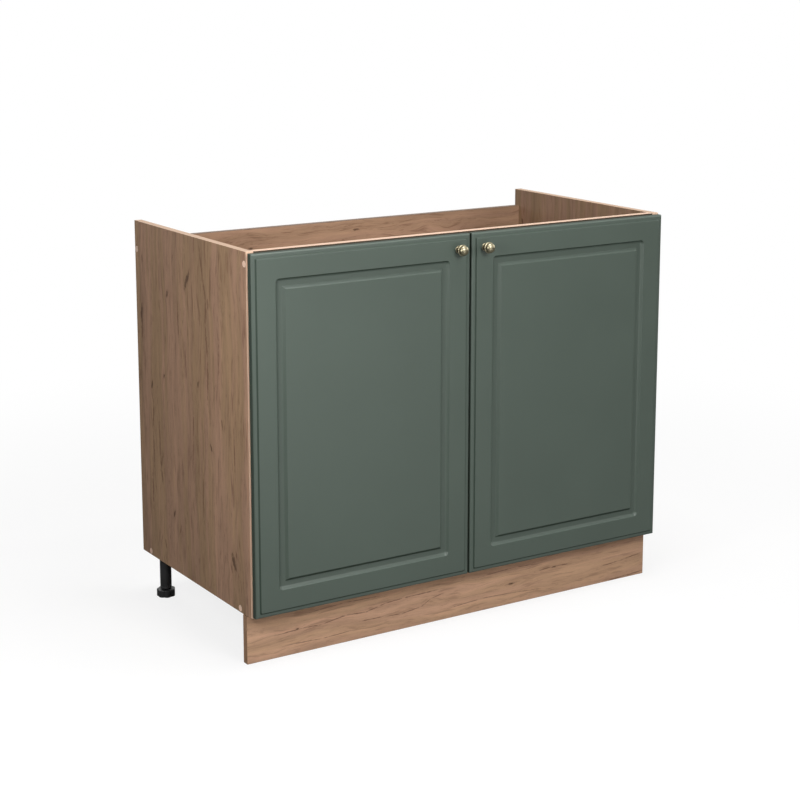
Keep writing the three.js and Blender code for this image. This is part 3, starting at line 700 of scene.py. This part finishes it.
# The right side's inner face: the same oak at 0.60 brightness, as painted shade inside the cabinet.
inner_oak_painted_shade = oak("oak_right_side_inner_painted_shade", 2, 1, 47.0,
                [(745, 469 + BUILD_Y, 9, 3.4, 0.2), (420, 60, 14, 4, 0.3), (240, -120, 10, 3, -0.2)],
                line([(640, -30), (560, -36), (470, -31)], 2.4) + line([(380, 150), (300, 156)], 2.0),
                tone_and_painted_light=0.60)
# The rails' oak at 0.92 brightness, falling to 0.74 towards the right end along the grain: painted shade
# inside the cabinet.
rail_oak_painted_shade = oak("oak_rails_painted_shade", 0, 2, 81.0,
               [(532 + BUILD_X, 760, 11, 3.4, 0.1), (264 + BUILD_X, 739, 8, 2.8, -0.1)], tone_and_painted_light=0.92,
               olive=0.4, painted_shade_fall=(200.0, 420.0, 0.74))
bottom_oak = oak("oak_bottom", 0, 1, 119.0, [(-180, 60, 14, 4.5, 0.2), (260, -90, 11, 3.5, -0.2)])
side_panel("left_side_panel", False, left_oak, UPRIGHT_BAND_PAINTED_LIGHT, RAW, RAW, TOP_BAND_PAINTED_SHADE, left_oak)
side_panel("right_side_panel", True, right_oak, UPRIGHT_BAND_PAINTED_LIGHT, RAW, RAW, TOP_BAND_PAINTED_SHADE, inner_oak_painted_shade)
cross_board("bottom_panel", ("bottom_front", "bottom_back"),
            rectangle_marks(WOOD, UNCOATED, WOOD, BAND), bottom_oak, LONG_BAND_PAINTED_LEVEL, RAW)
RAIL_WALLS = rectangle_marks(UNCOATED, WOOD, BAND, WOOD)
# The top 4 mm of the front rail's front wall is painted shadow from the gap behind the doors.
cross_board("front_rail", ("front_rail",), RAIL_WALLS, rail_oak_painted_shade, LONG_BAND_PAINTED_LEVEL, RAW, GAP_SHADOW_STRIP, shadow_strip=4.0)
cross_board("back_rail", ("back_rail",), RAIL_WALLS, rail_oak_painted_shade, EDGE_UMBER, RAW)

# ---- screws and caps

CAP_PROFILE = [(CAP_RADIUS - shrink, CAP_LOW.x + rise) for shrink, rise in (
    (1.6, 0.14), (1.2, 0.04), (0.6, 0.0), (0.3, 0.03), (0.06, 0.3), (0.0, 0.5),
    (0.0, CAP_HIGH.x - CAP_LOW.x))]
for side, mirror in SIDES:
    for spot in CAPS:
        shell = Shell(from_side)
        shell.lathe(CAP_PROFILE, 40, centre=cap_place(spot))
        piece(f"{side}_{spot}_cap", shell, mirror, CAP)
        slots = frame["nodes"][f"{side}_{spot}_screw"].data.materials
        slots.clear()
        slots.append(ZINC)

# ---- plinth board

PLINTH_LINES = (
    ([(60, 47), (124, 50), (168, 49), (225, 57), (270, 54), (302, 60), (319, 64), (355, 66),
      (446, 68)], 1.5),
    ([(257, 37), (319, 36), (355, 33), (405, 39)], 1.4), ([(405, 39), (430, 52), (462, 58)], 1.1),
    ([(621, 45), (650, 46)], 1.6), ([(701, 60), (745, 63), (793, 61)], 1.8),
    ([(876, 38), (930, 42), (1000, 50)], 1.8), ([(902, 2), (950, 4), (1000, 7)], 1.8),
    ([(480, 22), (560, 27), (640, 24), (720, 18)], 1.0), ([(560, 76), (640, 80), (700, 77)], 1.0),
    ([(90, 22), (170, 19), (240, 22)], 1.0), ([(150, 80), (220, 84), (300, 82)], 0.9))
PLINTH_STREAKS = []
for points, width in PLINTH_LINES:
    PLINTH_STREAKS += line([(x + BUILD_X, z) for x, z in points], width)
PLINTH_KNOTS = [(x + BUILD_X, z, a, b, s) for x, z, a, b, s in (
    (112, 51, 5, 1.6, 0.0), (636, 45, 9, 2.4, 0.05), (748, 61, 8, 2.2, 0.0))]
# The plinth's oak at 1.37 brightness, partly a paler decor and partly painted light against the doors'
# shadow; its fall to 0.90 towards the right end is painted shade.
plinth_oak_painted_light_shade = oak("oak_plinth_painted_light_shade", 0, 2, 156.0, PLINTH_KNOTS, PLINTH_STREAKS, wave=3.4, tone_and_painted_light=1.37,
                 veined=0.6, olive=0.45, painted_shade_fall=(-100.0, 480.0, 0.90))
low, high = span("plinth_board")
shell = Shell(from_side)
shell.slab(rectangle(low.y, high.y, low.z, high.z, 0.8), low.x, high.x, 0.5, RAIL_WALLS, (BAND, BAND))
piece("plinth_board", shell, False, plinth_oak_painted_light_shade, EDGE_BROWN, RAW)

# ---- doors

RIM_WIDTH, RIM_DROP = 9.0, 2.6
EDGE_ROUND = 3.8
GROOVE_INSET, GROOVE_FLOOR, GROOVE_SLOPE = 50.5, 10.2, 5.0
GROOVE_DEPTH, GROOVE_CORNER = 5.8, 8.5
COVE_STEEP, COVE_SHALLOW = math.radians(66), math.radians(22)
CUP_BORE_RADIUS, CUP_BORE_DEPTH = 17.5, 12.3
THREAD_RADIUS = 2.3
KNOB_AXIS = middle_of("left_knob").xz
EDGE_LOOPS = 5  # loops of the door's edge, behind its round
RIM_STEP = 10  # first loop of the step between the rim and the face
DOOR_CORNER_STEPS = 6
DOOR_WALLS = 4 * (DOOR_CORNER_STEPS + 1)
# The last two places hold the darker film copies, as painted shade.
FILM, BACK, CORE, DARK_SHADE_FILM, MID_SHADE_FILM = range(5)  # places in a door's list of materials


def door_profile(thickness):
    """(inset, height above the back, corner radius) of the loops from the back to the rim step."""
    rim = thickness - RIM_DROP
    loops = [(0.8, 0.0, 0.5), (0.25, 0.25, 0.5), (0.0, 0.8, 0.5)]
    for i in range(7):
        turn = math.pi / 2 * i / 6
        loops.append((EDGE_ROUND * (1 - math.cos(turn)), rim - EDGE_ROUND * (1 - math.sin(turn)), 1.0))
    loops += [(RIM_WIDTH - 0.8, rim, 3.4), (RIM_WIDTH - 0.2, rim + 0.2, 3.4),
              (RIM_WIDTH + 0.5, rim + 1.0, 3.2), (RIM_WIDTH + 1.2, rim + 1.9, 3.0),
              (RIM_WIDTH + 1.8, thickness - 0.25, 2.8), (RIM_WIDTH + 2.6, thickness, 2.6)]
    return loops


def groove_profile(thickness):
    """Loops of the routed groove, from its outer edge to the raised field."""
    loops = [(GROOVE_INSET - 0.4, thickness, GROOVE_CORNER + 0.4),
             (GROOVE_INSET - 0.06, thickness - 0.08, GROOVE_CORNER)]
    radius = GROOVE_DEPTH / (math.cos(COVE_SHALLOW) - math.cos(COVE_STEEP))
    wide = 0.0
    for i in range(1, 7):
        turn = COVE_STEEP + (COVE_SHALLOW - COVE_STEEP) * i / 6
        wide = radius * (math.sin(COVE_STEEP) - math.sin(turn))
        drop = radius * (math.cos(turn) - math.cos(COVE_STEEP))
        loops.append((GROOVE_INSET + wide, thickness - drop, GROOVE_CORNER - wide))
    floor = GROOVE_INSET + wide + GROOVE_FLOOR
    level = thickness - GROOVE_DEPTH
    field = floor + GROOVE_SLOPE
    loops += [(floor - 0.9, level, 0.9), (floor + 0.5, level + 0.22, 0.6),
              (field - 0.9, thickness - 0.45, 0.4), (field - 0.2, thickness - 0.1, 0.4),
              (field + 0.6, thickness, 0.5)]
    return loops


def walls_about(side):
    """The walls of a door outline's right (1), top (2), left (3) or bottom (4) and half its corners."""
    middle = side * (DOOR_CORNER_STEPS + 1) - 1
    half = DOOR_CORNER_STEPS // 2
    return [(middle + i) % DOOR_WALLS for i in range(-half, half + 1)]


def door_marks(routed, k):
    """The film of each wall of a loop: darker film as painted shade on the door's side edge, in the rim
    step and on the groove's top and bottom walls.
    """
    top, bottom = walls_about(2), walls_about(4)
    if routed:
        # Painted shade on the groove's top outer wall and on its bottom inner slope.
        shaded = top if 1 <= k < 4 else bottom if 8 <= k < 11 else ()
        return [DARK_SHADE_FILM if i in shaded else FILM for i in range(DOOR_WALLS)]
    # Painted shade in the rim step, less dark along the top.
    if RIM_STEP <= k < RIM_STEP + 4:
        return [MID_SHADE_FILM if i in top else DARK_SHADE_FILM for i in range(DOOR_WALLS)]
    # Painted shade on the door's side edge and the start of its round.
    return [DARK_SHADE_FILM if k < EDGE_LOOPS else FILM] * DOOR_WALLS


def door(name, mirror):
    low, high = span("left_door")
    thickness = high.y - low.y
    thread = circle(THREAD_RADIUS, KNOB_AXIS, 20)
    shell = Shell(from_front(high.y))

    def loop(shrink, corner):
        return rectangle(low.x + shrink, high.x - shrink, low.z + shrink, high.z - shrink, corner,
                         DOOR_CORNER_STEPS)

    rings = []
    for routed, profile in enumerate((door_profile(thickness), groove_profile(thickness))):
        made = [(shell.ring(loop(shrink, corner), height), loop(shrink, corner))
                for shrink, height, corner in profile]
        for k, ((a, _), (b, _)) in enumerate(zip(made, made[1:])):
            shell.bridge(a, b, door_marks(routed, k))
        rings.append(made)
    outer, groove = rings
    first, last, shape = shell.well(thread, [(0, thickness)], 0.0, 1, BACK, closed=False)
    shell.plate([outer[-1], groove[0], (last, shape)], FILM)
    shell.plate([groove[-1]], FILM)
    back = [outer[0], (first, thread)]
    for level in HINGES:
        bore = circle(CUP_BORE_RADIUS, middle_of(f"left_{level}_hinge_cup").xz, 48)
        rim, _, _ = shell.well(bore, [(0, CUP_BORE_DEPTH)], 0.0, 1, CORE)
        back.append((rim, bore))
    shell.plate(back, BACK)
    piece(name, shell, mirror, GREEN, DOOR_BACK, RAW, GREEN_FILM_SHADE_DARK, GREEN_FILM_SHADE_MID, sharp=50)


for side, mirror in SIDES:
    door(f"{side}_door", mirror)

# ---- knobs

# (radius, height above the door) from the end of the screw hole, round the foot and up to the dome.
KNOB_PROFILE = [(0, 11.3), (THREAD_RADIUS, 11.3), (THREAD_RADIUS, 0), (7.6, 0), (8.0, 0.35), (8.0, 0.95),
                (7.75, 1.35), (7.1, 1.6), (6.7, 1.95), (5.8, 2.5), (4.8, 3.6), (4.2, 5.2), (3.9, 7.2),
                (4.0, 9.0), (4.5, 10.4), (5.6, 11.5), (7.6, 12.3), (9.6, 12.8), (10.9, 13.1),
                (11.4, 13.5), (11.5, 14.1), (11.3, 14.7), (10.7, 15.1), (9.6, 15.35), (8.6, 15.7),
                (8.2, 16.3), (8.3, 16.9), (8.9, 17.6), (9.5, 18.4), (9.8, 19.2)]
DARKENED = (*range(7, 17), *range(23, 28))  # its bands with patina: the neck and the upper groove
DOME_RADIUS, DOME_START, DOME_STEPS = 9.9, 19.8, 12
KNOB_LOW, KNOB_HIGH = span("left_knob")
DOME_RISE = KNOB_HIGH.y - KNOB_LOW.y - DOME_START
for i in range(DOME_STEPS):
    turn = math.pi / 2 * i / DOME_STEPS
    KNOB_PROFILE.append((DOME_RADIUS * math.cos(turn), DOME_START + DOME_RISE * math.sin(turn)))
KNOB_PROFILE.append((0, DOME_START + DOME_RISE))
KNOB_MARKS = [int(i in DARKENED) for i in range(len(KNOB_PROFILE) - 1)]
HEAD_HEIGHT, HEAD_RIM = 1.5, 0.6  # of the screw that holds the knob


def knob(side, mirror):
    shell = Shell(from_front(KNOB_HIGH.y))
    shell.lathe(KNOB_PROFILE, 64, KNOB_MARKS, KNOB_AXIS)
    piece(f"{side}_knob", shell, mirror, BRASS, PATINA, sharp=60)


def knob_screw(side, mirror):
    low, high = span("left_knob_screw")
    shell = Shell(from_front(high.y))
    last, _, _ = shell.well(circle(3.9, KNOB_AXIS), [(0.5, -0.45), (1.3, -0.8), (2.0, -0.9)],
                            HEAD_HEIGHT - HEAD_RIM, 1, recess=(plus(1.7, 0.45, KNOB_AXIS), 0.9))
    for radius, height in ((4.0, HEAD_HEIGHT), (2.0, HEAD_HEIGHT), (2.0, high.y - low.y)):
        outline = circle(radius, KNOB_AXIS)
        ring = shell.ring(outline, height)
        shell.bridge(last, ring)
        last = ring
    shell.plate([(last, outline)])
    piece(f"{side}_knob_screw", shell, mirror, ZINC)


for side, mirror in SIDES:
    knob(side, mirror)
    knob_screw(side, mirror)

# ---- legs

FLANGE, FLANGE_CORNER = 5.0, 8.0
COLLAR, COLLAR_RADIUS = 8.0, 18.6
DIMPLE_RADIUS, DIMPLE_U, DIMPLE_V = 3.4, 22.0, 14.0
TUBE_WALL, TUBE_BORE_TOP = 5.5, 82.0
FOOT_LOBES, FOOT_SCALLOP, FOOT_HEIGHT, LOBE_STEPS = 7, 2.2, 16.0, 16
SPINDLE_RADIUS, THREAD_START, THREAD_PITCH = 6.5, 1.8, 2.5


def leg(side, end, mirror):
    name, twin = f"{side}_{end}_leg", f"left_{end}_leg"
    low, high = span(f"{twin}_mount")
    middle = middle_of(f"{twin}_mount").xy
    tube_low, tube_high = span(f"{twin}_tube")
    radius = (tube_high.x - tube_low.x) / 2

    shell = Shell(from_above)
    socket = COLLAR_RADIUS - radius - CLEARANCE
    collar = (circle(COLLAR_RADIUS, middle, 56),
              [(0, -COLLAR + 0.8), (0.3, -COLLAR + 0.2), (0.9, -COLLAR), (socket - 0.6, -COLLAR),
               (socket, -COLLAR + 0.5), (socket, 0)])
    dimples = [(circle(DIMPLE_RADIUS, (middle.x + u, middle.y + v), 20), [(1.2, 1.2), (1.2, 2.4)])
               for u in (-DIMPLE_U, DIMPLE_U) for v in (-DIMPLE_V, DIMPLE_V)]
    shell.slab(rectangle(low.x, high.x, low.y, high.y, FLANGE_CORNER, 8), high.z - FLANGE, high.z, 0.6,
               low_wells=[collar] + dimples)
    piece(f"{name}_mount", shell, mirror, BLACK)

    shell = Shell(from_above)
    bore, neck, end = radius - TUBE_WALL, radius - 0.35, tube_low.z
    shell.lathe([(0, TUBE_BORE_TOP), (bore, TUBE_BORE_TOP), (bore, end + 0.5), (bore + 0.5, end),
                 (radius - 0.7, end), (radius - 0.2, end + 0.2), (radius, end + 0.7),
                 (radius, end + 5.0), (neck, end + 5.4), (neck, end + 6.4), (radius, end + 6.8),
                 (radius, tube_high.z), (0, tube_high.z)], 56, centre=middle)
    piece(f"{name}_tube", shell, mirror, BLACK)

    low, high = span(f"{twin}_foot")
    radius, spindle = high.x - middle.x, high.z - FOOT_HEIGHT
    lobed = []
    for i in range(FOOT_LOBES * LOBE_STEPS):
        turn = 2 * math.pi * i / (FOOT_LOBES * LOBE_STEPS)
        far = radius - FOOT_SCALLOP * (1 - abs(math.cos(FOOT_LOBES / 2 * turn)))
        lobed.append((middle.x + far * math.cos(turn), middle.y + far * math.sin(turn)))
    thread = [(0.8, 0.0), (0.8, -THREAD_START)]
    for i in range(int((spindle - 3) / THREAD_PITCH)):
        start = THREAD_START + i * THREAD_PITCH
        thread += [(0.5, -start), (0.0, -start - 0.6), (0.0, -start - 1.0), (0.5, -start - 1.6)]
    thread += [(0.9, 0.6 - spindle), (1.6, -spindle)]
    under = (circle(radius - 5.0, middle, 48), [(0.4, 0.8)])
    shell = Shell(from_above)
    shell.slab(lobed, low.z, FOOT_HEIGHT, 1.4, low_wells=[under],
               high_wells=[(circle(SPINDLE_RADIUS, middle, 40), thread)], steps=5)
    piece(f"{name}_foot", shell, mirror, BLACK)


for side, mirror in SIDES:
    for end in ("front", "back"):
        leg(side, end, mirror)

# ---- plinth clips

CLIP_OPENING = math.pi * 0.62
CLIP_STEM, CLIP_PLATE, CLIP_WALL = 4.0, 2.5, 2.4


def clip_outline(low, high):
    """A plate against the plinth, a short stem and a ring open at the back, seen from above."""
    tube_low, tube_high = span("left_front_leg_tube")
    centre = middle_of("left_front_leg_tube").xy
    inner = (tube_high.x - tube_low.x) / 2 + CLEARANCE
    outer = inner + CLIP_WALL
    half, plate = (high.x - low.x) / 2, low.y + CLIP_PLATE
    front, reach = -math.pi / 2, math.asin(CLIP_STEM / outer)
    open_right = math.pi / 2 - CLIP_OPENING / 2
    open_left = -math.pi * 1.5 + CLIP_OPENING / 2
    outline = [(centre.x - half, low.y), (centre.x + half, low.y), (centre.x + half, plate),
               (centre.x + CLIP_STEM, plate)]
    outline += arc(centre, outer, front + reach, open_right, 16)
    outline += arc(centre, inner, open_right, open_left, 34)
    outline += arc(centre, outer, open_left, front - reach, 16)
    return outline + [(centre.x - CLIP_STEM, plate), (centre.x - half, plate)]


for side, mirror in SIDES:
    low, high = span("left_plinth_clip")
    shell = Shell(from_above)
    shell.slab(clip_outline(low, high), low.z, high.z, 0.35)
    piece(f"{side}_plinth_clip", shell, mirror, BLACK)

# ---- concealed hinges

INNER_FACE = span("left_side_panel")[1].x
DOOR_BACK_Y = span("left_door")[1].y
CUP_RADIUS, CUP_WALL, CUP_DEPTH = 17.2, 0.7, 12.0
CUP_FLANGE, RIM_RADIUS = 1.2, CUP_RADIUS + 2
WING_HALF_WIDTH, WING_REACH, WING_CORNER, WING_SCREW = 9.0, 31.0, 5.0, 24.0
ARM_PIVOT = (BUILD_X + 28.0, BUILD_Y - 8.5)
LINK_LINE = [ARM_PIVOT, (BUILD_X + 24.0, BUILD_Y - 11.9), (BUILD_X + 14.8, BUILD_Y - 11.9),
             (BUILD_X + 10.8, BUILD_Y - 6.0)]
LINK_HALF, EYE_RADIUS, TIP_RADIUS, PIN_RADIUS = 0.9, 2.3, 1.1, 1.0
ARM_HALF_WIDTH, ARM_WALL = 7.0, 1.4
ARM_BASE, ARM_TOP = INNER_FACE + 6.0, INNER_FACE + 17.0
ARM_NOSE, ARM_BACK = BUILD_Y + 5.0, BUILD_Y + 58.0
PLATE_FRONT, PLATE_BACK, PLATE_THICKNESS = BUILD_Y + 10.0, BUILD_Y + 56.0, 2.4
PLATE_HALF, PLATE_WING, PLATE_REACH = 7.0, 7.5, 24.0


def cup_outline(centre):
    """The cup's round rim with its two screw wings."""
    bend = math.acos(WING_HALF_WIDTH / RIM_RADIUS)
    points = []
    for way, turn in ((1, 0.0), (-1, math.pi)):
        points += arc(centre, RIM_RADIUS, turn - bend, turn + bend, 20)
        for side, start in ((way, turn), (-way, turn + math.pi / 2)):
            corner = (centre.x + side * (WING_HALF_WIDTH - WING_CORNER),
                      centre.y + way * (WING_REACH - WING_CORNER))
            points += arc(corner, WING_CORNER, start, start + math.pi / 2, 6)
    return points


def strap(line, half, first_radius, last_radius):
    """The outline of a bent strip with a round eye at each end."""
    points = [Vector(p) for p in line]
    ways = [(after - here).normalized() for here, after in zip(points, points[1:])]
    near, far = [], []
    for point, before, after in zip(points[1:], ways, ways[1:]):
        across = (before.orthogonal() + after.orthogonal()).normalized()
        across *= half / max(across.dot(before.orthogonal()), 0.5)
        near.append(point - across)
        far.insert(0, point + across)
    outline = []
    for centre, way, radius, steps, side in ((points[0], ways[0], first_radius, 20, near),
                                             (points[-1], -ways[-1], last_radius, 12, far)):
        turn, spread = math.atan2(way.y, way.x), math.asin(half / radius)
        outline += arc(centre, radius, turn + spread, turn + 2 * math.pi - spread, steps)
        outline += [tuple(p) for p in side]
    return outline


def hinge_cup(name, level, mirror):
    centre = middle_of(f"left_{level}_hinge_cup").xz
    depth = CUP_FLANGE + CUP_DEPTH - CUP_WALL
    bowl = (circle(CUP_RADIUS - CUP_WALL, centre, 48),
            [(0, depth - 0.8), (0.23, depth - 0.23), (0.8, depth)])
    outside = (circle(CUP_RADIUS, centre, 48),
               [(0, -CUP_DEPTH + 0.6), (0.2, -CUP_DEPTH + 0.15), (0.7, -CUP_DEPTH)])
    screws = []
    for spot in ((centre.x, centre.y - WING_SCREW), (centre.x, centre.y + WING_SCREW)):
        screws.append((circle(3.3, spot, 24), [(0.1, -0.1), (0.6, -0.3), (1.3, -0.36)], 0,
                       (plus(1.5, 0.4, spot), 0.7)))
    shell = Shell(lambda u, v, h: (u, h, v))
    shell.slab(cup_outline(centre), DOOR_BACK_Y, DOOR_BACK_Y + CUP_FLANGE, 0.25,
               low_wells=[outside], high_wells=[bowl] + screws)
    piece(f"{name}_cup", shell, mirror, NICKEL)


def hinge_link(name, level, mirror):
    low, high = span(f"left_{level}_hinge_link")
    hole = circle(PIN_RADIUS + CLEARANCE, ARM_PIVOT, 20)
    shell = Shell(from_above)
    shell.slab(strap(LINK_LINE, LINK_HALF, EYE_RADIUS, TIP_RADIUS), low.z, high.z, 0.2,
               through=[(hole, [(0, high.z - low.z)], 0)])
    piece(f"{name}_link", shell, mirror, NICKEL)


def hinge_arm(name, level, mirror):
    """A sheet channel, open towards the side panel, with the link's pin across its nose."""
    low, high = span(f"left_{level}_hinge_arm")
    px, py = ARM_PIVOT
    shell = Shell(from_above)
    shell.slab([(px - 2.3, py), (px - 1.2, py - 2.3), (px + 1.2, py - 2.3), (px + 2.9, py),
                (ARM_TOP, ARM_NOSE), (ARM_TOP, ARM_BACK), (ARM_BASE, ARM_BACK),
                (ARM_BASE, ARM_NOSE + ARM_WALL)], low.z, high.z, 0.5)
    arm = mesh_object(f"{name}_arm", shell, mirror)
    u0, u1, v0, v1 = ARM_BASE - 4, ARM_TOP - ARM_WALL, py - 6, ARM_BACK - ARM_WALL
    hollow = Shell(from_above)
    hollow.slab([(u0, v0), (u1, v0), (u1, v1), (u0, v1)], low.z + ARM_WALL, high.z - ARM_WALL, 0)
    boolean(arm, hollow, mirror, "DIFFERENCE")
    pin = Shell(from_above)
    pin.lathe([(PIN_RADIUS, low.z + 0.7), (PIN_RADIUS, high.z - 0.7)], 20, centre=ARM_PIVOT)
    boolean(arm, pin, mirror, "UNION")
    finish(arm, f"{name}_arm", NICKEL)


def hinge_plate(name, level, mirror):
    """The plate on the side panel, with its two screws and the spine that holds the arm."""
    height, middle = hinge_height(level), BUILD_Y + PLATE_SCREW_SETBACK
    outline = cross(PLATE_FRONT, PLATE_BACK, height - PLATE_HALF, height + PLATE_HALF,
                    middle - PLATE_WING, middle + PLATE_WING, height - PLATE_REACH, height + PLATE_REACH)
    half = ARM_HALF_WIDTH - ARM_WALL - CLEARANCE
    rise = ARM_TOP - ARM_WALL - CLEARANCE - INNER_FACE - PLATE_THICKNESS
    spine = (rectangle(PLATE_FRONT + 0.6, PLATE_BACK - ARM_WALL, height - half, height + half, 1.5),
             [(0, -rise + 0.4), (0.4, -rise)])
    heads, shanks = [], []
    for sign in (-1, 1):
        spot = (middle, height + sign * PLATE_SCREW_HALF_PITCH)
        heads.append((circle(4.2, spot, 28), [(0.05, -0.6), (0.7, -1.3), (1.8, -1.6)], 0,
                      (plus(2.0, 0.5, spot), 1.0)))
        shanks.append((circle(PLATE_SCREW_RADIUS, spot, 16), [(0, -9.0), (1.8, -PLATE_SCREW_LENGTH)]))
    shell = Shell(from_side)
    shell.slab(outline, INNER_FACE, INNER_FACE + PLATE_THICKNESS, 0.4, low_wells=shanks,
               high_wells=[spine] + heads)
    piece(f"{name}_plate", shell, mirror, NICKEL)


for side, mirror in SIDES:
    for level in HINGES:
        for make in (hinge_cup, hinge_link, hinge_arm, hinge_plate):
            make(f"{side}_{level}_hinge", level, mirror)

# ---- floor, lights, camera

FLOOR_REACH = 60.0  # metres
SHADOW_FADE = (700.0, 2400.0)  # how far from the middle the shadow starts and ends to fade
PICTURE_WIDTH, FOCAL_LENGTH, SENSOR_WIDTH = 800, 1791, 36.0  # the first two in pixels
TILT_DOWN, HEADING = 10.76, -32.49  # degrees


def floor():
    """A pale studio floor. The camera sees it nearly white; the cabinet's shadow stays on it."""
    mesh = bpy.data.meshes.new("floor")
    far = FLOOR_REACH
    mesh.from_pydata([(-far, -far, 0), (far, -far, 0), (far, far, 0), (-far, far, 0)], [], [(0, 1, 2, 3)])
    made = bpy.data.objects.new("floor", mesh)
    bpy.context.scene.collection.objects.link(made)
    w = new_material("studio_floor")
    x, y, _ = w.millimetres()
    grain = w.noise(w.vector(x, y, 0.0), 0.02, 3.0)
    path = w.add("LightPath").node.outputs
    seen = w.math("MAXIMUM", path["Is Camera Ray"], path["Is Transmission Ray"])
    pale = w.colour(seen, (0.26, 0.26, 0.26), w.colour(grain, (0.93, 0.93, 0.93), (0.96, 0.96, 0.96)))
    plain = w.add("BsdfDiffuse", {"Color": pale})
    white = w.add("Emission", {"Color": (1.0, 1.0, 1.0), "Strength": 1.0})
    share = w.remap(w.length(x, y), *SHADOW_FADE, 0.82, 1.0)
    mixed = w.add("MixShader", {0: w.times(share, seen), 1: plain, 2: white})
    w.add("OutputMaterial", {0: mixed})
    mesh.materials.append(w.material)


def lamp(name, kind, location, strength, size, target=(0.0, 0.0, 0.45)):
    """A soft ball (POINT) or softbox (AREA); strength is what a white card one metre away shows."""
    data = bpy.data.lights.new(name, kind)
    if kind == "AREA":
        data.shape = "RECTANGLE"
        data.size, data.size_y = size if isinstance(size, tuple) else (size, size)
        data.energy = strength * math.pi ** 2
    else:
        data.shadow_soft_size = size
        data.energy = strength * 4 * math.pi ** 2
    made = bpy.data.objects.new(name, data)
    made.location = location
    made.rotation_euler = (Vector(location) - Vector(target)).to_track_quat("Z", "Y").to_euler()
    made.visible_camera = False
    bpy.context.scene.collection.objects.link(made)


def world(ambient):
    """White where the camera sees it, straight, mirrored or through; dimmer as a light."""
    made = bpy.data.worlds.new("studio")
    made.use_nodes = True
    made.node_tree.nodes.clear()
    w = Wiring(made.node_tree)
    path = w.add("LightPath").node.outputs
    seen = w.math("MAXIMUM", w.math("MAXIMUM", path["Is Camera Ray"], path["Is Glossy Ray"]),
                  path["Is Transmission Ray"])
    strength = w.total(ambient, (seen, 1.0 - ambient))
    sky = w.add("Background", {"Color": (1.0, 1.0, 1.0), "Strength": strength})
    w.add("OutputWorld", {0: sky})
    bpy.context.scene.world = made


def camera():
    data = bpy.data.cameras.new("camera")
    data.sensor_width = SENSOR_WIDTH
    data.lens = FOCAL_LENGTH / PICTURE_WIDTH * SENSOR_WIDTH
    data.shift_y = -0.12
    data.clip_end = 200.0
    made = bpy.data.objects.new("camera", data)
    made.location = (-2.026, -3.159, 1.347)
    made.rotation_euler = (math.radians(90 - TILT_DOWN), 0.0, math.radians(HEADING))
    bpy.context.scene.collection.objects.link(made)
    bpy.context.scene.camera = made


floor()
world(0.08)
lamp("side_light", "POINT", (-1.36, -0.80, 1.03), 0.85, 0.20)
lamp("front_light", "POINT", (-0.10, -2.20, 1.72), 2.65, 0.42)
lamp("low_fill", "AREA", (0.2, -2.4, 0.15), 0.60, (1.8, 0.24), target=(0.1, 0.0, 0.15))
lamp("top_light", "AREA", (0.0, -0.5, 3.0), 4.8, 1.2)
lamp("right_fill", "AREA", (3.6, -0.4, 1.6), 3.6, 2.0)
lamp("back_fill", "AREA", (-0.6, 4.0, 1.8), 4.6, 2.2)
camera()
bpy.context.scene.view_settings.view_transform = "Standard"
